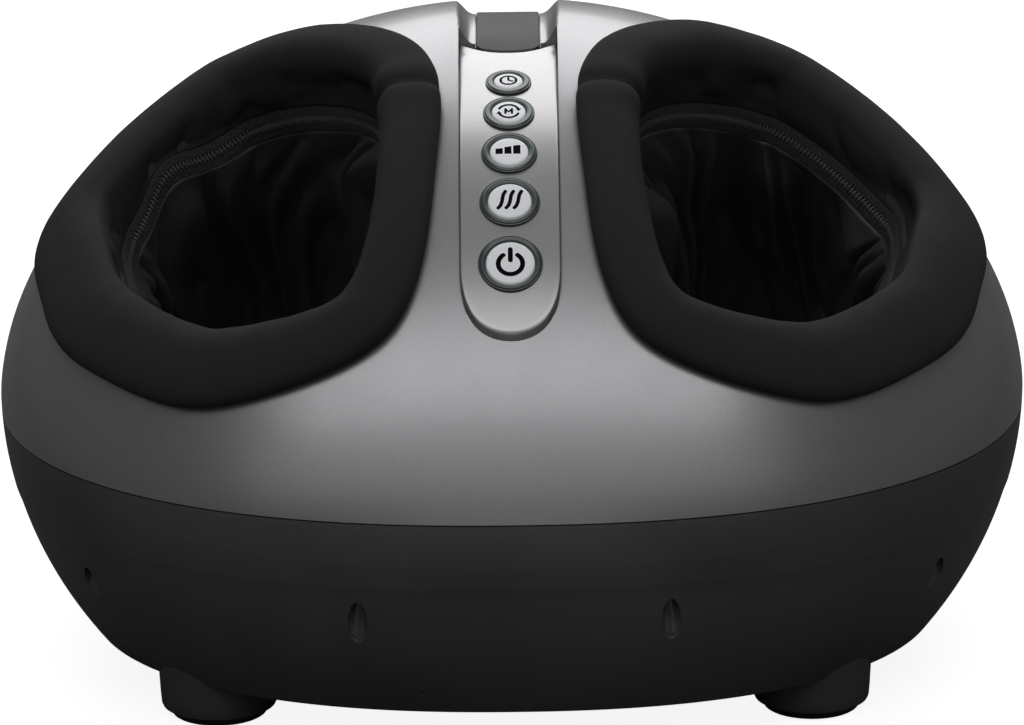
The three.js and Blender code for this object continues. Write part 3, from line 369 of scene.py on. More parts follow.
def paint(name, low, high, roughness, metallic, coat=0.25, painted_glow=0.0):
    m = Nodes(name, low, roughness, metallic, Coat_Weight=coat, Coat_Roughness=0.12)
    # Emission in the high colour, when asked for, is a painted glow that brightens the surface without any
    # lamp.
    m.set("Emission Color", (*high, 1))
    m.set("Emission Strength", painted_glow)
    flakes = m.noise(2600, 2, rough=0.7)
    m.tint(flakes, low, high, (0.3, 0.7))
    m.vary("Roughness", m.noise(38, 4), roughness - 0.03, roughness + 0.05)
    m.bump(flakes, 0.012, 0.5)
    m.bump(m.noise(420, 2), 0.02, 0.35)
    return m.material


def plastic(name, color, roughness, grain, depth, coat=0.0, metallic=0.0, shine=0.5):
    m = Nodes(name, color, roughness, metallic, Coat_Weight=coat, Coat_Roughness=0.2)
    m.set("Specular IOR Level", shine)
    spread = m.noise(14, 5)
    m.tint(spread, tuple(c * 0.86 for c in color), tuple(c * 1.14 for c in color))
    m.vary("Roughness", m.noise(60, 4), roughness - 0.05, roughness + 0.07)
    m.bump(m.noise(grain, 3, rough=0.6), depth, 0.6)
    return m.material


def knit(name, color, scale, depth, sheen=0.2, roughness=0.88, shine=0.12):
    m = Nodes(name, color, roughness, 0.0, Sheen_Weight=sheen, Sheen_Roughness=0.45)
    m.set("Sheen Tint", (0.35, 0.35, 0.37, 1))
    m.set("Specular IOR Level", shine)
    warp = m.wave(scale, "X", 1.2, (1, 0.7, 0.7))
    weft = m.wave(scale, "Z", 1.2, (0.7, 0.7, 1))
    fibre = m.noise(scale * 3.2, 3, rough=0.7)
    weave = m.math("ADD", m.math("MULTIPLY", warp, weft), m.math("MULTIPLY", fibre, 0.8))
    m.tint(weave, tuple(c * 0.7 for c in color), tuple(c * 1.35 for c in color), (0.25, 1.2))
    m.bump(weave, depth, 0.8)
    m.bump(m.noise(45, 4), 0.35, 0.5)
    return m.material


def metal(name, color, roughness):
    m = Nodes(name, color, roughness, 1.0)
    lines = m.noise(260, 3, (1, 1, 30))
    m.tint(lines, tuple(c * 0.85 for c in color), tuple(min(c * 1.1, 1) for c in color))
    m.vary("Roughness", lines, roughness - 0.06, roughness + 0.1)
    m.bump(lines, 0.01, 0.4)
    return m.material


# Looks by the slots of the CAD source, then those that only pieces of this scene wear
LOOKS = {
    "shell_paint": paint("shell_paint", (0.36, 0.35, 0.365), (0.46, 0.45, 0.465), 0.33, 0.8),
    "panel_paint": paint("panel_paint", (0.42, 0.41, 0.42), (0.52, 0.51, 0.52), 0.3, 0.85),
    "base_plastic": plastic("base_plastic", (0.072, 0.072, 0.073), 0.4, 1300, 0.03),
    "handle_plastic": plastic("handle_plastic", (0.05, 0.05, 0.052), 0.55, 1100, 0.015),
    "bezel_metallic": plastic("bezel_paint", (0.12, 0.14, 0.135), 0.3, 2400, 0.006, coat=0.3, metallic=0.7),
    # The button faces carry a faint painted glow: emission that makes the discs brighter, though no lamp
    # lights them.
    "button_face": paint("button_paint", (0.84, 0.86, 0.9), (0.92, 0.93, 0.96), 0.3, 0.0, 0.1, painted_glow=0.16),
    "collar_fabric": knit("collar_knit", (0.035, 0.035, 0.0356), 900, 0.05, sheen=0.0),
    "sleeve_fabric": knit("sleeve_cloth", (0.068, 0.068, 0.07), 1200, 0.02, 0.1, roughness=0.38, shine=0.6),
    "zipper_tape": knit("tape_weave", (0.07, 0.07, 0.072), 420, 0.5, 0.1, roughness=0.8),
    "foot_rubber": plastic("foot_rubber", (0.012, 0.012, 0.0125), 0.7, 700, 0.06),
    "deck_plastic": plastic("deck_plastic", (0.27, 0.28, 0.29), 0.5, 500, 0.06),
    "gear_plastic": plastic("gear_plastic", (0.8, 0.78, 0.72), 0.45, 700, 0.03),
    "nodule_plastic": plastic("nodule_plastic", (0.5, 0.47, 0.42), 0.5, 600, 0.04),
    "steel": metal("steel", (0.6, 0.61, 0.62), 0.28),
    "brass": metal("brass", (0.6, 0.45, 0.18), 0.3),
    "belt_rubber": plastic("belt_rubber", (0.02, 0.02, 0.022), 0.75, 500, 0.08),
    "board_laminate": plastic("board_laminate", (0.03, 0.18, 0.08), 0.4, 900, 0.02),
    "airbag_film": plastic("airbag_film", (0.06, 0.13, 0.2), 0.45, 260, 0.15),
    "hose_rubber": plastic("hose_rubber", (0.55, 0.57, 0.55), 0.4, 400, 0.03),
    "well_gloss": plastic("well_gloss", (0.07, 0.07, 0.072), 0.16, 2000, 0.002, coat=0.9),
    "icon_ink": plastic("icon_ink", (0.003, 0.003, 0.003), 0.9, 2000, 0.004, shine=0.1),
    "zipper_coil": plastic("zipper_coil", (0.17, 0.17, 0.173), 0.28, 2000, 0.005, coat=0.2),
}
for subpart in frame["record"]["subparts"]:
    node = frame["nodes"][subpart["node"]]
    node.data.materials.clear()
    node.data.materials.append(LOOKS[subpart["material_slot"]])


# Foot openings, as in the CAD source
OPEN_CENTRE = np.array([118.0, -62.0, 170.0])
OPEN_UP, OPEN_AXIS = tilted(math.radians(35))
COLLAR_LENGTH = 219.5
COLLAR_SHARES = np.array([0.33, 0.47, 0.6, 0.52, 0.4, 0.444, 0.387, 0.321])
CROWN_SHARES = np.array([0.5, 0.7, 0.8, 1, 1, 1, 0.9, 0.6])
BAND_SHARES = np.array([1, 1, 1, 0.95, 0.86, 0.95, 1.14, 1.1])
OVERRUN = 60.0
COLLAR_OVERLAP, COLLAR_BAND, COLLAR_SEAT = 17.0, 28.0, 0.7
WALL_DROP, LIP, TAPE = 19.0, 6.0, 12.0


def closed_curve(controls, steps):
    """Points and slopes of a closed uniform Catmull-Rom curve through points or whole rings."""
    count = len(controls)
    t = np.arange(steps) / steps * count
    i = np.floor(t).astype(int)
    f = (t - i).reshape(-1, *[1] * (controls.ndim - 1))
    a, b, c, d = (controls[(i + k) % count] for k in (-1, 0, 1, 2))
    m0, m1 = (c - a) / 2, (d - b) / 2
    cubic, square = 2 * b - 2 * c + m0 + m1, 3 * c - 3 * b - 2 * m0 - m1
    return cubic * f**3 + square * f**2 + m0 * f + b, 3 * cubic * f**2 + 2 * square * f + m0


def outline(inset, steps):
    angle = np.arange(8) / 8 * TURN
    controls = np.stack([np.cos(angle), np.sin(angle)], -1) * (COLLAR_SHARES * COLLAR_LENGTH)[:, None]
    point, slope = closed_curve(controls, steps)
    slope = unit(slope)
    return point + np.stack([-slope[:, 1], slope[:, 0]], -1) * np.reshape(inset, (-1, 1))


def along_axis(flat, distance):
    return OPEN_CENTRE + flat[:, :1] * ACROSS + flat[:, 1:] * OPEN_UP + OPEN_AXIS * distance


def opening_ring(inset, steps):
    return onto_dome(along_axis(outline(inset, steps), -OVERRUN), OPEN_AXIS)


def share_around(shares, steps):
    """Share at each step round the opening, blended between the shares given at equal angles."""
    place = np.arange(steps) / steps * len(shares)
    here = np.floor(place).astype(int)
    return shares[here] + (shares[(here + 1) % len(shares)] - shares[here]) * ease(place - here)


def mirror(points, side):
    return points * np.array([side, 1, 1])


def opening_cutter(side):
    flat = outline(COLLAR_OVERLAP, 200)
    return cutter([mirror(along_axis(flat, far), side) for far in (-OVERRUN, W)])


# Channel along the middle of the dome
PANEL_LOW, PANEL_HIGH, PANEL_HALF, PANEL_THICK = -148.6, -12.0, 20.2, 3.0
PANEL_HORN, ARC_RADIUS = -3.6, 29.5
PANEL_RISE, PANEL_SINK, PANEL_END_TILT = 3.5, 9.0, math.radians(50)
CHANNEL_LOW, CHANNEL_TOP, CHANNEL_SPREAD = 20.5, 21.4, 25.0
CHANNEL_FLOOR, CHANNEL_WALL = 15.8, 3.3
HANDLE_DEPTH, HANDLE_BLEND, CHANNEL_END = 5.9, 40.0, 160.0
STRIP_HALF, STRIP_THICK, STRIP_PROUD = 13.3, 2.2, 0.7
SKY = WAIST + DOME + OVERRUN


def channel_height(y):
    share = np.clip((y - PANEL_LOW) / (PANEL_HIGH - PANEL_LOW), 0, 1)
    offset = PANEL_RISE - (PANEL_RISE + PANEL_SINK) * share**2
    t = ease((y - PANEL_HIGH) / (HANDLE_BLEND - PANEL_HIGH))
    return dome_height(0.0, y) + offset + (-HANDLE_DEPTH - offset) * t


def channel_half(y):
    spread = ease((y - PANEL_HIGH) / (CHANNEL_SPREAD - PANEL_HIGH))
    return CHANNEL_LOW + (CHANNEL_TOP - CHANNEL_LOW) * spread


def channel_frame(y):
    """Origin, across, up and out on the channel's surface."""
    up = unit(np.array([0, 2 * GAP, channel_height(y + GAP) - channel_height(y - GAP)]))
    return np.array([0, y, channel_height(y)]), ACROSS, up, np.array([0, -up[2], up[1]])


def channel_loft(low, high, stations, section):
    rings = []
    for y in np.linspace(low, high, stations):
        steep = channel_frame(y)[2][1]
        rings.append(np.array([[x, y, z] for x, z in section(y, steep)]))
    return cutter(rings)


def panel_prism():
    half = PANEL_HALF + GAP
    origin = np.array([0, PANEL_LOW, channel_height(PANEL_LOW)])
    turn = np.linspace(math.pi, TURN, 49)
    end = np.stack([half * np.cos(turn), PANEL_HALF + half * np.sin(turn)], -1)
    flat = np.array([[half, D], [-half, D], *end])
    rings = [np.column_stack([flat, np.full(len(flat), z)]) for z in (-D / 2, D / 2)]
    return cutter(placed_rings(rings, (origin, ACROSS, *tilted(PANEL_END_TILT))))


def slot_cutter(half, depth, low, high, stations):
    """Straight slot open to the sky, with its floor at a depth below the channel's surface."""

    def section(y, steep):
        floor = channel_height(y) - depth / steep
        return [(-half, floor), (half, floor), (half, SKY), (-half, SKY)]

    return channel_loft(low, high, stations, section)


# Walls of the channel: places as shares of their run and rise, then their lip past the top, in mm
FOOT_BACK, FOOT_STEP, FOOT_SHARE = 1.2, 0.2, 0.06
WALL_SHARES = ((0.22, 0.2), (0.78, 0.78), (0.95, 0.93))
LIP_POINTS = ((0.5, -0.07), (1.3, 0.02), (2.6, 0.5))


def handle_cutter():
    def section(y, steep):
        floor = channel_height(y) - STRIP_PROUD / steep
        top = channel_half(y)
        rise, run = dome_height(top, y) - floor, top - CHANNEL_FLOOR
        half = [(CHANNEL_FLOOR - FOOT_BACK, floor), (CHANNEL_FLOOR - FOOT_STEP, floor + FOOT_SHARE * rise)]
        half += [(CHANNEL_FLOOR + x * run, floor + z * rise) for x, z in WALL_SHARES]
        half += [(top + x, dome_height(top + x, y) + z) for x, z in LIP_POINTS]
        half.append((half[-1][0], SKY))
        return half + [(-x, z) for x, z in reversed(half)]

    return channel_loft(PANEL_HIGH - 1.0, CHANNEL_END, 150, section)


# Each button's name, place along the panel, and widths of its bezel and face
BUTTONS = (
    ("power", -127.9, 25.8, 19.4),
    ("heat", -105.2, 24.3, 17.4),
    ("intensity", -83.3, 22.7, 15.5),
    ("mode", -61.9, 21.0, 13.8),
    ("timer", -41.3, 18.8, 11.9),
)
GRIP_HALF, GRIP_FRONT, GRIP_LOW, GRIP_HIGH, GRIP_WALL, GRIP_CORNER = 45.0, 130.0, 164.0, 204.0, 2.5, 6.0
BOWL_END_SHARE, DOME_END_SHARE = 0.8, 0.97
KINK_DEPTH, KINK_FADE, KINK = 29.0, 5.0, 0.45


def egg_solid(name, inset, around, dome_steps, bowl_steps, kink=0.0):
    """Solid inside the egg's skin, drawn in by a kink below the seam."""
    angle = np.arange(around) / around * TURN
    levels = [-BOWL_END_SHARE * i / bowl_steps for i in range(bowl_steps, 0, -1)]
    levels += [math.sin(DOME_END_SHARE * i / dome_steps * math.pi / 2) for i in range(dome_steps + 1)]
    rings = []
    for level in levels:
        ring = body_ring(angle, level, inset)
        step = ease((SEAM - ring[:, 2] - KINK_DEPTH) / KINK_FADE)
        rings.append(ring - unit(ring * FLAT) * (kink * step)[:, None])
    return loft(name, rings)


def trimmed(piece, inset, around, dome_steps, bowl_steps):
    return combine(piece, [egg_solid("cutter", inset, around, dome_steps, bowl_steps)], "INTERSECT")


def half_space(height, tilt, above):
    size = W * 2
    low, high = (0, size) if above else (-size, 0)
    rings = box_rings((-size, -size, low), (size, size, high))
    return cutter(placed_rings(rings, (np.array([0, 0, height]), ACROSS, *tilted(math.atan(tilt)))))


def grip_room(margin):
    """Low and high corners of the hand grip's room, grown by a margin."""
    low = (-GRIP_HALF - margin, GRIP_FRONT - margin, GRIP_LOW - margin)
    return low, (GRIP_HALF + margin, D, GRIP_HIGH + margin)


# Upper shell
shell = egg_solid("shell_skin", 0, 320, 90, 30)
combine(shell, [egg_solid("cutter", WALL, 96, 26, 12)])
depth = PANEL_THICK + GAP + CHANNEL_WALL
trough = slot_cutter(CHANNEL_TOP + CHANNEL_WALL, depth, PANEL_LOW, CHANNEL_END - WALL, 60)
combine(shell, [trimmed(trough, 0.05, 200, 60, 20)], "UNION")
seat = slot_cutter(PANEL_HALF + GAP, PANEL_THICK + GAP, PANEL_LOW - WALL, PANEL_HORN + GAP, 90)
combine(
    shell,
    [
        combine(seat, [panel_prism()], "INTERSECT"),
        handle_cutter(),
        slot_cutter(STRIP_HALF + GAP, STRIP_THICK + GAP, PANEL_HIGH, CHANNEL_END, 110),
        opening_cutter(-1),
        opening_cutter(1),
        cutter(box_rings(*grip_room(GRIP_WALL + GAP))),
        half_space(SEAM + GAP, SEAM_TILT, False),
    ],
)
true_normals(shell)
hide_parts("upper_shell")
dress(shell, "shell_paint")

# Lower housing
FRONT_LEG, BACK_LEG = (121.0, -111.0), (115.0, 84.0)
LEG_TOP, LEG_LOW, PAD_TOP, PAD_RADIUS = 25.4, 23.6, 3.4, 19.6
SCREWS = ((-0.4206, -0.1639), (-0.203, -0.2399), (0.4082, -0.4749), (0.0835, -0.4028))
SCREW_TILT = math.radians(14)
BORE, BORE_HIGH, BOSS, BOSS_LOW, BOSS_HIGH = 4.0, 26.0, 6.8, -14.0, 34.0
WELL_SKIN, WELL_LOW, WELL_HIGH = 0.04, -40.0, 25.8
WELL_BORE, WELL_MOUTH, WELL_FLOOR = 3.55, -50.0, 25.2
PIN_ANGLE, PIN_LEVEL, PIN_RADIUS, PIN_REACH = -0.5464, -0.354, 1.1, 1.8
INLET_HEIGHT, INLET_BACK, INLET_BOSS, INLET_BORE = 62.0, 158.0, 13.0, 8.0
INLET_BLOCK, INLET_DEPTH = 11.0, 44.0


def screw_frame(side, angle, level):
    point = mirror(body_ring(angle * math.pi, level), side)
    outward = unit(point * FLAT)
    out = np.array([0, 0, math.cos(SCREW_TILT)]) - outward * math.sin(SCREW_TILT)
    across = np.array([-outward[1], outward[0], 0])
    return point, across, np.cross(out, across), out


def inlet_bar(radius, front, sides):
    """Bar along Y through the power inlet's place."""
    rings = round_bar(radius, front, D, sides)
    return cutter([np.stack([r[:, 0], r[:, 2], INLET_HEIGHT - r[:, 1]], -1) for r in rings])


LEG_PROFILE = (
    (LEG_LOW - 1.6, PAD_TOP + GAP),
    (LEG_LOW - 0.5, PAD_TOP + GAP + 0.4),
    (LEG_LOW, PAD_TOP + GAP + 1.5),
    (LEG_LOW + 0.35, PAD_TOP + 6),
    (LEG_TOP, UNDERSIDE + OVERRUN / 3),
)
housing = egg_solid("housing_skin", 0, 320, 20, 70, KINK)
combine(housing, [half_space(UNDERSIDE, 0, False)])
leg_places = [(x * side, y) for side, hand in SIDES for x, y in (FRONT_LEG, BACK_LEG)]
legs = [cutter(shifted(lathe_rings(LEG_PROFILE, 72), *place)) for place in leg_places]
combine(housing, legs, "UNION")
hollow = combine(egg_solid("cutter", WALL, 96, 26, 16), [half_space(UNDERSIDE + WALL, 0, False)])
combine(housing, [hollow])
cuts, bosses = [], []
for side, hand in SIDES:
    for angle, level in SCREWS:
        place = screw_frame(side, angle, level)
        cuts.append(cutter(placed_rings(round_bar(BORE, -OVERRUN, BORE_HIGH, 32), place)))
        bosses.append(cutter(placed_rings(round_bar(BOSS, BOSS_LOW, BOSS_HIGH, 32), place)))
bosses.append(inlet_bar(INLET_BOSS + WALL, INLET_BACK - INLET_BLOCK, 48))
combine(housing, [trimmed(boss, 1.4, 120, 20, 40) for boss in bosses], "UNION")
pin = body_ring(PIN_ANGLE * math.pi, PIN_LEVEL)
cuts += [
    inlet_bar(INLET_BOSS, INLET_BACK, 64),
    inlet_bar(INLET_BORE + GAP, INLET_BACK - INLET_DEPTH, 48),
    half_space(SEAM - GAP, SEAM_TILT, True),
    cutter(shifted(round_bar(PIN_RADIUS, UNDERSIDE, pin[2] + PIN_REACH, 16), pin[0], pin[1])),
]
combine(housing, cuts)
shade(housing.data, SHARP)
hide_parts("lower_housing")
dress(housing, "base_plastic")

# Moulded linings of the screw wells, smoother than the grained outside
for side, hand in SIDES:
    for number, (angle, level) in enumerate(SCREWS):
        place = screw_frame(side, angle, level)
        bar = round_bar(BORE - WELL_SKIN, WELL_LOW, WELL_HIGH, 40)
        lining = loft(f"screw_well_{hand}_{number}", placed_rings(bar, place))
        bore = round_bar(WELL_BORE, WELL_MOUTH, WELL_FLOOR, 40)
        combine(lining, [cutter(placed_rings(bore, place))])
        trimmed(lining, 1.0, 120, 20, 40)
        shade(lining.data, 30)
        dress(lining, "base_plastic", look="well_gloss")


# Control panel
PANEL_INSETS = (0, 0.12, 0.35, 0.7, 1.2, 2.5, 4.5, 7, 10, 13, 16, 18.5, PANEL_HALF - 0.02)
PANEL_ARC = np.linspace(0, math.pi / 2, 22)
PANEL_SIDE_SHARES = [*np.linspace(0, 0.985, 68)[1:], *(1 - np.array([0.0098, 0.0058, 0.003, 0.001, 0]))]
PANEL_END_SHARE, PANEL_SINK_SHARE, PANEL_EDGE = 0.36, 1.25, 1.1
BEZEL_REST, HOLE_REACH = 1.6, 9.0


def panel_grid(drop_of):
    """Rings that step in from the panel's outline, at the drop below the channel that each inset gives."""
    grid = []
    for inset in PANEL_INSETS:
        half = PANEL_HALF - inset
        top = PANEL_HIGH + ARC_RADIUS - math.sqrt(ARC_RADIUS**2 - half**2) - PANEL_LOW
        right = [(half * math.sin(a), PANEL_HALF - half * math.cos(a)) for a in PANEL_ARC]
        right += [(half, PANEL_HALF + (top - PANEL_HALF) * t) for t in PANEL_SIDE_SHARES]
        ring = np.array([(-x, s) for x, s in reversed(right[1:])] + right)
        y = PANEL_LOW + ring[:, 1] * (1 - PANEL_END_SHARE * np.clip(1 - ring[:, 1] / PANEL_HALF, 0, 1))
        arc_gap = np.hypot(ring[:, 0], y - PANEL_HIGH - ARC_RADIUS) - ARC_RADIUS
        z = channel_height(y) + np.array([drop_of(min(inset, max(g, 0))) for g in arc_gap])
        grid.append(np.stack([ring[:, 0], y, z], -1))
    return grid


def panel_drop(inset):
    return math.sqrt(max(PANEL_EDGE**2 - max(PANEL_EDGE - inset, 0) ** 2, 0)) - PANEL_EDGE


def slab(top, bottom, end_wall=True):
    """Points and faces of two equal grids, one under the other, joined by walls."""
    rows, columns = len(top), len(top[0])
    half, last = rows * columns, (rows - 1) * columns
    faces = []
    for i in range(rows - 1):
        for j in range(columns - 1):
            a, b = i * columns + j, (i + 1) * columns + j
            faces += [(a, b, b + 1, a + 1), (half + a, half + a + 1, half + b + 1, half + b)]
        a, b = i * columns, (i + 1) * columns
        c, d = a + columns - 1, b + columns - 1
        faces += [(a, half + a, half + b, b), (c, d, half + d, half + c)]
    for j in range(columns - 1):
        faces.append((j, j + 1, half + j + 1, half + j))
        if end_wall:
            faces.append((last + j, half + last + j, half + last + j + 1, last + j + 1))
    return np.concatenate([*top, *bottom]), faces


def panel_plate():
    """The panel's slab, closed between the two sides of its innermost ring."""
    top = panel_grid(panel_drop)
    points, faces = slab(top, panel_grid(lambda inset: -PANEL_THICK * PANEL_SINK_SHARE), False)
    count, half = len(top[0]), len(points) // 2
    last = half - count
    for j in range(count // 2):
        a, b = last + j, half - 1 - j
        if b - a > 1:
            faces += [(a, a + 1, b - 1, b), (half + a, half + b, half + b - 1, half + a + 1)]
    a, b = last, half - 1
    faces.append((a, b, half + b, half + a))
    plate = make("panel_plate", points, faces)
    work = bmesh.new()
    work.from_mesh(plate.data)
    bmesh.ops.remove_doubles(work, verts=work.verts, dist=0.01 * MM)
    bmesh.ops.recalc_face_normals(work, faces=work.faces)
    work.to_mesh(plate.data)
    work.free()
    return plate


panel = panel_plate()
holes = []
for name, along, ring, disc in BUTTONS:
    bar = round_bar(ring / 2 - BEZEL_REST, -HOLE_REACH, HOLE_REACH, 48)
    holes.append(cutter(placed_rings(bar, channel_frame(along))))
combine(panel, holes)
shade(panel.data, 40)
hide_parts("control_panel")
dress(panel, "panel_paint")

# Bezels and buttons
STEM, STEM_LOW, AXIS, CROWN, CROWN_FALL = 3.0, -11.0, 0.02, 1.42, 0.18
for name, along, ring, disc in BUTTONS:
    place = channel_frame(along)
    r, bore = ring / 2, disc / 2 + GAP
    neck = r - BEZEL_REST - GAP
    band = r - bore
    profile = [
        (bore, -PANEL_THICK + GAP), (neck, -PANEL_THICK + GAP), (neck, GAP), (r - 0.1, GAP), (r, 0.4),
        (r - 0.03, 0.6), (r - 0.2, 0.76), (r - 0.45, 0.8), (r - 0.6, 0.62), (r - 0.75, 0.62), (r - 0.9, 0.86),
        (r - band * 0.38, 1.12), (r - band * 0.5, 1.18), (r - band * 0.8, 1.12), (bore + 0.45, 1.0),
        (bore + 0.12, 0.84), (bore, 0.6),
    ]
    bezel = loft(f"bezel_ring_{name}", placed_rings(lathe_rings(profile, 96), place), True, 50)
    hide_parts(f"bezel_{name}")
    dress(bezel, "bezel_metallic")

    R = disc / 2
    profile = [
        (AXIS, CROWN), (R * 0.35, 1.4), (R * 0.7, 1.33), (R - 0.9, 1.24), (R - 0.55, 1.16), (R - 0.25, 0.98),
        (R - 0.06, 0.7), (R, 0.35), (R, -1.7), (STEM, -1.7), (STEM, STEM_LOW), (AXIS, STEM_LOW),
    ]
    cap = loft(f"button_cap_{name}", placed_rings(lathe_rings(profile, 96), place), sharp=45)
    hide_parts(f"button_{name}")
    dress(cap, "button_face", f"button_{name}")


# Icons: thin raised strokes on the button faces
def stroke(path, width):
    """Outline of a stroke with round ends."""
    path = np.array(path, float)
    ahead = np.diff(path, axis=0)
    back = np.concatenate([ahead[:1], ahead])
    side = unit(unit(np.concatenate([ahead, ahead[-1:]])) + unit(back))
    side = np.stack([-side[:, 1], side[:, 0]], -1)
    left, right = path + side * width / 2, path - side * width / 2
    cap = np.linspace(0, math.pi, 9)[1:-1]

    def end(centre, start):
        a = math.atan2(start[1], start[0]) - cap
        return centre + np.stack([np.cos(a), np.sin(a)], -1) * width / 2

    return np.concatenate([left, end(path[-1], side[-1]), right[::-1], end(path[0], -side[0])]), None


def icon_solid(loops, reach):
    points, faces = [], []

    def level(p, z):
        lift = CROWN - CROWN_FALL * (np.linalg.norm(p, axis=1) / reach) ** 2
        return np.column_stack([p, lift + z])

    for outer, inner in loops:
        base = sum(len(p) for p in points)
        n = len(outer)
        points += [level(outer, -ICON_SINK), level(outer, ICON_RISE)]
        if inner is None:
            faces += [tuple(base + i for i in reversed(range(n))), tuple(base + n + i for i in range(n))]
            faces += ring_quads(base, base + n, n)
            continue
        points += [level(inner, ICON_RISE), level(inner, -ICON_SINK)]
        for k in range(4):
            faces += ring_quads(base + k * n, base + (k + 1) % 4 * n, n)
    return np.concatenate(points), faces


def arc(radius, start, end, steps=40, centre=(0, 0)):
    turn = np.radians(np.linspace(start, end, steps))
    return np.stack([centre[0] + radius * np.cos(turn), centre[1] + radius * np.sin(turn)], -1)


def circle(radius, width):
    flat = arc(1, 0, 360, 65)[:-1]
    return flat * (radius + width / 2), flat * (radius - width / 2)


def icon_loops(name):
    """Outer and inner loops of an icon, as shares of the button's radius."""
    if name == "power":
        return [stroke(arc(0.5, 126, 414, 60, (0, -0.06)), 0.2), stroke([(0, 0.1), (0, 0.3), (0, 0.62)], 0.2)]
    if name == "heat":
        wave = [(-0.53, -0.44), (-0.44, -0.32), (-0.38, -0.16), (-0.34, 0.02), (-0.32, 0.2), (-0.28, 0.36)]
        wave.append((-0.2, 0.52))
        return [stroke([(x + shift, y) for x, y in wave], 0.175) for shift in (0, 0.37, 0.74)]
    if name == "intensity":
        bars = ((-0.71, -0.33, 0.156, 0.2), (-0.245, 0.12, 0.27, 0.33), (0.21, 0.585, 0.38, 0.43))
        return [(np.array([(a, -0.22), (b, -0.22), (b, d), (a, c)]), None) for a, b, c, d in bars]
    if name == "mode":
        loops = [stroke(arc(0.6, 22, 158), 0.15), stroke(arc(0.6, 202, 338), 0.15)]
        head = np.array([(0.74, 0.24), (0.42, 0.24), (0.57, -0.02)])
        loops += [(head, None), (-head, None)]
        m = 0.19
        loops += [stroke([(x, -0.2), (x, 0.0), (x, 0.2)], 0.14) for x in (-m, m)]
        return loops + [stroke([(-m, 0.18), (-0.09, 0.04), (0, -0.08), (0.09, 0.04), (m, 0.18)], 0.13)]
    loops = [circle(0.545, 0.16), stroke([(0, 0), (0, 0.15), (0, 0.36)], 0.15)]
    loops.append(stroke([(0, 0), (0.13, -0.07), (0.27, -0.14)], 0.15))
    marks = [np.array([c, s]) for c, s in ((1, 0), (0, 1), (-1, 0), (0, -1))]
    return loops + [stroke([mark * 0.5, mark * 0.45, mark * 0.4], 0.07) for mark in marks]


ICON_RISE, ICON_SINK = 0.06, 0.1
for name, along, ring, disc in BUTTONS:
    R = disc / 2
    loops = [(a * R, None if b is None else b * R) for a, b in icon_loops(name)]
    points, faces = icon_solid(loops, R)
    icon = make(f"icon_{name}", placed(points, *channel_frame(along)), faces, sharp=40)
    dress(icon, "base_plastic", f"button_{name}", "icon_ink")


# Handle strip over the crown, and the hand grip at the back
STRIP_CORNER, STRIP_EDGE, STRIP_END = 4.0, 0.9, 154.0
EDGE_STEPS = np.array([0, 0.06, 0.18, 0.35, 0.6, 0.95, 1.4, 2.0, 2.8, 4.0])
MIDDLE_STEPS, RUN_STEPS = np.linspace(-8.5, 8.5, 19), np.linspace(5.5, 164, 110)


def strip_arc(x):
    """Place along the channel of the arc beside the panel's hollow end."""
    radius = ARC_RADIUS - 2 * GAP
    return PANEL_HIGH + ARC_RADIUS - np.sqrt(radius**2 - x**2)


def strip_low(x):
    """Low end of the strip: the arc, with rounded corners."""
    over = np.clip(np.abs(x) - (STRIP_HALF - STRIP_CORNER), 0, STRIP_CORNER)
    return strip_arc(x) + STRIP_CORNER - np.sqrt(np.maximum(STRIP_CORNER**2 - over**2, 0))


def strip_mesh():
    side = STRIP_HALF - EDGE_STEPS
    x = np.concatenate([-side, MIDDLE_STEPS, side[::-1]])
    steps = np.concatenate([EDGE_STEPS, RUN_STEPS])
    low = strip_low(x)[:, None]
    y = low + (STRIP_END - low) * (steps / steps[-1])
    y[:, : len(EDGE_STEPS)] = low + EDGE_STEPS
    wide = np.repeat(x[:, None], len(steps), 1)
    corner = np.maximum(np.abs(wide) - (STRIP_HALF - STRIP_CORNER), 0)
    corner_y = strip_arc(np.minimum(np.abs(wide), STRIP_HALF - STRIP_CORNER)) + STRIP_CORNER
    end_gap = np.where(corner_y > y, STRIP_CORNER - np.hypot(corner, corner_y - y), STRIP_HALF)
    inset = np.clip(np.minimum(end_gap, STRIP_HALF - np.abs(wide)), 0, STRIP_EDGE)
    fall = STRIP_EDGE - np.sqrt(STRIP_EDGE**2 - (STRIP_EDGE - inset) ** 2)
    z = channel_height(y)
    return slab(np.stack([wide, y, z - fall], -1), np.stack([wide, y, z - STRIP_THICK], -1))


def rounded_box(low, high, radius, steps=8):
    """Box along Y whose four long edges are rounded."""
    left, right, bottom, top = low[0] + radius, high[0] - radius, low[2] + radius, high[2] - radius
    corners = ((right, top), (left, top), (left, bottom), (right, bottom))
    arcs = [arc(radius, 90 * k, 90 * k + 90, steps, corner) for k, corner in enumerate(corners)]
    flat = np.concatenate(arcs)
    return [np.stack([flat[:, 0], np.full(len(flat), y), flat[:, 1]], -1) for y in (low[1], high[1])]


handle = make("carry_handle_skin", *strip_mesh())
cup = trimmed(cutter(box_rings(*grip_room(GRIP_WALL))), 0, 320, 90, 30)
combine(handle, [cup], "UNION")
combine(handle, [cutter(rounded_box(*grip_room(0), GRIP_CORNER))])
true_normals(handle, 35)
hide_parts("carry_handle")
dress(handle, "handle_plastic")

# Collars
AROUND, SEAM_TURN = 320, 0.425
STRAYS = {-1: ((-9.0, 62, 8), (1.2, 32, 9)), 1: ((-2.0, 40, 14), (1.5, 100, 16))}
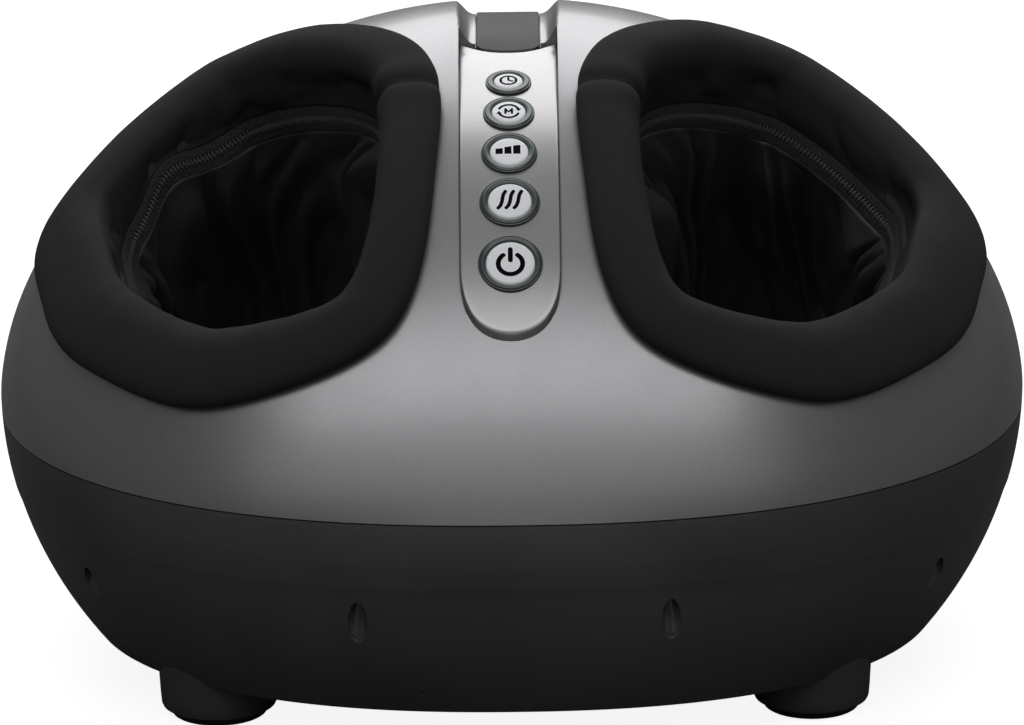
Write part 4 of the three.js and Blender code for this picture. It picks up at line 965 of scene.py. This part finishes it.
# Section of the collar: distance from the opening's edge and height, then drop and depth in the wall
CROWN_POINTS = (
    (1.4, 0.1), (-0.3, 2.4), (0.3, 5.6), (2.6, 8.2), (6.8, 10.0), (12.0, 10.9), (17.5, 11.0), (22.2, 9.4),
    (25.6, 6.0), (27.5, 1.6),
)
WALL_POINTS = (
    (3.0, 0.0), (7.0, -0.3), (12.0, -0.4), (16.0, 0.0), (18.6, 0.2), (19.0, 1.8), (18.2, LIP - 0.8),
    (12.0, LIP), (6.0, LIP),
)
UNDER_POINTS = ((11, 0.1), (6, 0.1))
SEAM_DEPTH, SEAM_WIDTH, SWELL, SWELL_PLACE, SWELL_WIDTH = 1.9, 1.1, 0.8, 4, 3
BULGE, SLACK, CREASE, CREASE_WIDTH = 0.9, 4.0, 1.5, 0.14


def rim():
    """The collar's inner edge at each step, with the ways that its wall runs down and faces inward."""
    inner = opening_ring(COLLAR_BAND * share_around(BAND_SHARES, AROUND), AROUND)
    normal = egg_normal(inner)
    down = -unit(normal + OPEN_AXIS)
    inward = (OPEN_CENTRE - inner) * FLAT
    inward = unit(inward - down * (inward * down).sum(1)[:, None])
    return inner, down, inward


def zipper_wave(side):
    """How far the zipper sags below its even line: each side rises at one place and sags at another."""
    angle = np.arange(AROUND) / AROUND * 360
    return sum(fall * bell(angle, place, spread) for fall, place, spread in STRAYS[side])


def ripple(points, scale, depth, seed):
    return np.array([noise.noise(Vector(p) / scale + Vector((seed,) * 3)) for p in points]) * depth


def collar_mesh(side, hand):
    inner, down, inward = rim()
    crown = share_around(CROWN_SHARES, AROUND)[:, None]
    band = share_around(BAND_SHARES, AROUND)
    wall = (WALL_DROP + zipper_wave(side))[:, None] / WALL_DROP

    def over(distance, height):
        point = opening_ring(distance * band, AROUND)
        return point + egg_normal(point) * (COLLAR_SEAT + height * crown)

    def hanging(drop, thickness):
        return inner + down * drop * wall - inward * thickness

    outer = opening_ring(COLLAR_OVERLAP + 2 * GAP, AROUND)
    seat = outer + egg_normal(outer) * (COLLAR_SEAT + 0.1)
    controls = [over(*point) for point in CROWN_POINTS] + [hanging(*point) for point in WALL_POINTS]
    controls += [seat] + [over(*point) for point in UNDER_POINTS]
    rings = closed_curve(np.stack(controls), 66)[0].swapaxes(0, 1)
    flat = rings.reshape(-1, 3)
    outward = unit(rings - rings.mean(1, keepdims=True)).reshape(-1, 3)
    turn = np.repeat(np.arange(AROUND) / AROUND, rings.shape[1])
    place = np.tile(np.arange(rings.shape[1]) / rings.shape[1], AROUND)
    face = np.clip(1.4 - np.abs(place - 0.36) * 4.2, 0, 1)
    wide = ripple(flat, 40, 1.0, side * 3.1 + 9)
    fine = ripple(flat, 9, 0.28, side * 1.7 + 4)
    creases = bell(ripple(flat * np.array([1, 1, 0.4]), 17, 1.0, side + 20), 0, CREASE_WIDTH)
    hem = bell(place, 0.64, 0.05)
    inner_wall = np.clip((place - 0.42) * 12, 0, 1) * np.clip((0.74 - place) * 12, 0, 1)
    lift = (wide * BULGE + fine) * face + inner_wall * (1 - hem) * (wide * SLACK - CREASE * creases)
    seam_gap = np.abs((turn - SEAM_TURN + 0.5) % 1 - 0.5) * AROUND
    swell = SWELL * bell(seam_gap, SWELL_PLACE, SWELL_WIDTH)
    lift += (swell - SEAM_DEPTH * bell(seam_gap, 0, SEAM_WIDTH)) * np.clip(face * 2, 0, 1)
    rings = (flat + outward * lift[:, None]).reshape(rings.shape)
    return loft(f"collar_pad_{hand}", [mirror(r, side) for r in rings], closed=True)


for side, hand in SIDES:
    collar = collar_mesh(side, hand)
    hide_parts(f"collar_{hand}")
    dress(collar, "collar_fabric")


# Zipper: two strips of tape and the coil between them
TAPE_SECTIONS = (
    ((-5.0, -1.6), (-0.6, -0.5), (2.6, 0.35), (4.9, 0.3), (5.2, 0.0), (5.2, -0.5), (2.6, -0.45)),
    ((6.8, -0.5), (6.8, 0.0), (7.1, 0.3), (9.4, 0.35), (11.8, 0.1), (11.8, -0.5), (9.4, -0.45)),
)
COIL_PLACE, PITCH, WIRE = (6.0, 0.45), 1.75, 0.27
LINK_LONG, LINK_DEEP, LINK_AHEAD, LINK_APART, LINK_STEPS, WIRE_STEPS = 1.35, 0.55, 0.36, 0.55, 10, 5


def zipper(side, hand):
    inner, down, inward = rim()
    wave = zipper_wave(side)[:, None]

    def at(drop, thickness):
        return inner + down * (WALL_DROP + GAP + drop + wave) + inward * thickness

    points, faces, base = [], [], 0
    for controls in TAPE_SECTIONS:
        stack = np.stack([at(*control) for control in controls], 1)
        wobble = ripple(stack.reshape(-1, 3), 13, 0.5, 5.5 + side).reshape(stack.shape[:2])
        stack = stack + inward[:, None] * wobble[..., None]
        p, f = loft_data([mirror(r, side) for r in stack], closed=True)
        points.append(p)
        faces += [tuple(base + i for i in q) for q in f]
        base += len(p)
    tape = make(f"zipper_tape_{hand}", np.concatenate(points), faces, sharp=60)
    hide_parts(f"zipper_{hand}")
    dress(tape, "zipper_tape")

    middle = at(*COIL_PLACE)
    closed = np.concatenate([middle, middle[:1]])
    gone = np.concatenate([[0], np.cumsum(np.linalg.norm(np.diff(closed, axis=0), axis=1))])
    teeth = int(gone[-1] / PITCH)
    where = np.arange(teeth) / teeth * gone[-1]
    spots = np.stack([np.interp(where, gone, closed[:, i]) for i in range(3)], -1)
    tangents = unit(np.roll(spots, -1, 0) - np.roll(spots, 1, 0))
    index = np.round(where / gone[-1] * AROUND).astype(int) % AROUND
    wire_turns = [(math.cos(b), math.sin(b)) for b in np.arange(WIRE_STEPS) / WIRE_STEPS * TURN]
    points, faces = [], []
    for spot, ahead, cross, lift in zip(spots, tangents, down[index], inward[index]):
        for way in (-1, 1):
            centre = spot + ahead * (LINK_AHEAD * way) + cross * (LINK_APART * way)
            start = len(points)
            for i, a in enumerate(np.arange(LINK_STEPS) / LINK_STEPS * TURN):
                spine = centre + cross * (LINK_LONG * math.cos(a)) + lift * (LINK_DEEP * math.sin(a))
                radial = unit(cross * math.cos(a) + lift * math.sin(a))
                points += [spine + (radial * c + ahead * s) * WIRE for c, s in wire_turns]
                following = start + (i + 1) % LINK_STEPS * WIRE_STEPS
                faces += ring_quads(start + i * WIRE_STEPS, following, WIRE_STEPS)
    if side > 0:
        faces = [tuple(reversed(f)) for f in faces]
    coil = make(f"zipper_coil_{hand}", mirror(np.array(points), side), faces)
    dress(coil, "zipper_tape", look="zipper_coil")
    return tape, coil


zippers = {hand: zipper(side, hand) for side, hand in SIDES}

# Foot sleeve: a sewn pocket that gathers under the zipper and lies on the kneading heads
SLEEVE_CENTRE, SLEEVE_W, SLEEVE_L, SLEEVE_P = np.array([108.0, -5.0]), 50.0, 128.0, 2.6
SLEEVE_FLOOR, CLOTH, SLEEVE_LEVELS = 78.0, 1.2, 60
PLEATS, PLEAT_FADE, PLEAT_DEPTH = 34, 14, 1.2
GATHERS, GATHER_DEPTH, WAVE_DEPTH, FOLD_DEPTH = 7.5, 11, 13, 5


def noise_ring(turns, rise, shift):
    """Smooth noise round a ring, which changes with a rise."""
    return np.array([noise.noise(Vector((*flat, rise)) + Vector(shift)) for flat in turns])


def sleeve_rows(side):
    """Rings of the bag's inner face, from the zipper down to the sole."""
    inner, down, _ = rim()
    top = inner + down * (WALL_DROP + TAPE + 2 * GAP + zipper_wave(side)[:, None])
    angle = np.arange(AROUND) / AROUND * TURN
    turns = np.stack([np.cos(angle), np.sin(angle)], -1)
    sole = SLEEVE_CENTRE + np.array([SLEEVE_W, SLEEVE_L]) * signed_power(turns, 2 / SLEEVE_P)
    rows = []
    for t in np.arange(SLEEVE_LEVELS + 1) / SLEEVE_LEVELS:
        ring = top.copy()
        ring[:, :2] += (sole - top[:, :2]) * math.sin(t * math.pi / 2)
        ring[:, 2] += (SLEEVE_FLOOR - top[:, 2]) * t
        toward = unit(np.column_stack([SLEEVE_CENTRE - ring[:, :2], np.zeros(AROUND)]))
        wide = noise_ring(turns * 2.2, t * 1.5, (side * 4.0, 0, 7))
        folds = noise_ring(turns * 4.2, t * 2.6, (0, side * 6.0, 3))
        pleats = PLEAT_DEPTH * np.cos(angle * PLEATS + folds * 9) * math.exp(-t * PLEAT_FADE)
        gathers = np.abs(np.sin(angle * GATHERS + wide * 6 + side)) ** 0.9 - 0.4
        depth = GATHER_DEPTH * gathers * (1 - 0.5 * t) + WAVE_DEPTH * wide + pleats
        depth += FOLD_DEPTH * (2.0 * np.abs(folds) - 0.3)
        reach = math.sin(min(t * 5, 1) * math.pi / 2) * (1 - t**6)
        rows.append(ring + toward * (depth * reach)[:, None])
    return np.array(rows)


for side, hand in SIDES:
    rows = sleeve_rows(side)
    outward = unit(np.cross(np.gradient(rows, axis=0), np.roll(rows, -1, 1) - np.roll(rows, 1, 1)))
    test = rows[:, :, :2] - SLEEVE_CENTRE
    if (outward[20, :, :2] * test[20]).sum() < 0:
        outward = -outward
    outer = rows + outward * CLOTH
    outer[-1, :, 2] = SLEEVE_FLOOR - CLOTH
    outer[0] = rows[0] + outward[0] * FLAT * CLOTH
    sleeve = loft(f"sleeve_lining_{hand}", [mirror(r, side) for r in [*outer[::-1], *rows]])
    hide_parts(f"foot_sleeve_{hand}")
    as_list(zippers[hand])
    dress(sleeve, "sleeve_fabric")


# Rubber feet with a ring groove and a rounded edge
r = PAD_RADIUS
PAD_PROFILE = (
    (AXIS, 0), (7, 0), (7.3, 0.5), (8.7, 0.5), (9.0, 0), (r - 1.6, 0), (r - 0.9, 0.12), (r - 0.35, 0.5),
    (r - 0.05, 1.1), (r, 1.8), (r, PAD_TOP - 0.6), (r - 0.15, PAD_TOP - 0.25), (r - 0.5, PAD_TOP),
    (AXIS, PAD_TOP),
)
for side, hand in SIDES:
    for end, (x, y) in (("front", FRONT_LEG), ("back", BACK_LEG)):
        pad = loft(f"foot_pad_{hand}_{end}", shifted(lathe_rings(PAD_PROFILE, 72), x * side, y), sharp=50)
        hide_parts(f"rubber_foot_{hand}_{end}")
        dress(pad, "foot_rubber")


# Studio: each light's name, place, width and depth, and power, with the height that it aims at
LIGHTS = (
    ("back_softbox", (0, 2.05, 2.14), (3.5, 2.7), 57, 0.15),
    ("top_softbox", (0, 0.24, 2.9), (3.0, 1.9), 3.5, 0.15),
    ("front_softbox", (0, -1.63, 2.52), (3.6, 1.2), 18, 0.15),
    ("front_middle_softbox", (0, -2.55, 1.7), (5.2, 1.0), 5.5, 0.15),
    ("front_low_softbox", (0, -3.0, 0.55), (1.3, 1.2), 0.9, 0.12),
)
FLOOR_REACH = 6000
for name, place, (width, depth), power, aim in LIGHTS:
    light = bpy.data.lights.new(name, "AREA")
    light.shape = "RECTANGLE"
    light.size, light.size_y = width, depth
    light.energy = power
    lamp = link(name, light)
    lamp.location = place
    lamp.rotation_euler = (Vector((0, 0, aim)) - Vector(place)).to_track_quat("-Z", "Y").to_euler()


def shader_of(tree, kind, **inputs):
    node = tree.nodes.new(kind)
    for key, value in inputs.items():
        node.inputs[key].default_value = value
    return node.outputs[0]


def by_camera(tree, unseen, seen, end):
    """One shader for what the camera sees, and another for every other ray."""
    path = tree.nodes.new("ShaderNodeLightPath")
    mix = tree.nodes.new("ShaderNodeMixShader")
    for source, socket in zip((path.outputs["Is Camera Ray"], unseen, seen), mix.inputs):
        tree.links.new(source, socket)
    tree.links.new(mix.outputs["Shader"], tree.nodes[end].inputs["Surface"])


corners = [(x * FLOOR_REACH, y * FLOOR_REACH, 0) for x, y in ((-1, -1), (1, -1), (1, 1), (-1, 1))]
floor = make("floor", corners, [(0, 1, 2, 3)])
look = Nodes("floor", (0.11, 0.11, 0.11), 0.9, Specular_IOR_Level=0.1)
both = look.add("ShaderNodeAddShader")
look.join(shader_of(look.tree, "ShaderNodeBsdfDiffuse", Color=(0.35, 0.35, 0.35, 1)), both.inputs[0])
look.join(shader_of(look.tree, "ShaderNodeEmission", Color=(1, 1, 1, 1), Strength=0.9), both.inputs[1])
by_camera(look.tree, look.shader.outputs["BSDF"], both.outputs["Shader"], "Material Output")
floor.data.materials.append(look.material)

world = bpy.data.worlds.new("studio")
bpy.context.scene.world = world
world.use_nodes = True
dim = shader_of(world.node_tree, "ShaderNodeBackground", Color=(1, 1, 1, 1), Strength=0.09)
white = shader_of(world.node_tree, "ShaderNodeBackground", Strength=1.0)
by_camera(world.node_tree, dim, white, "World Output")

bpy.context.scene.view_settings.view_transform = "Standard"
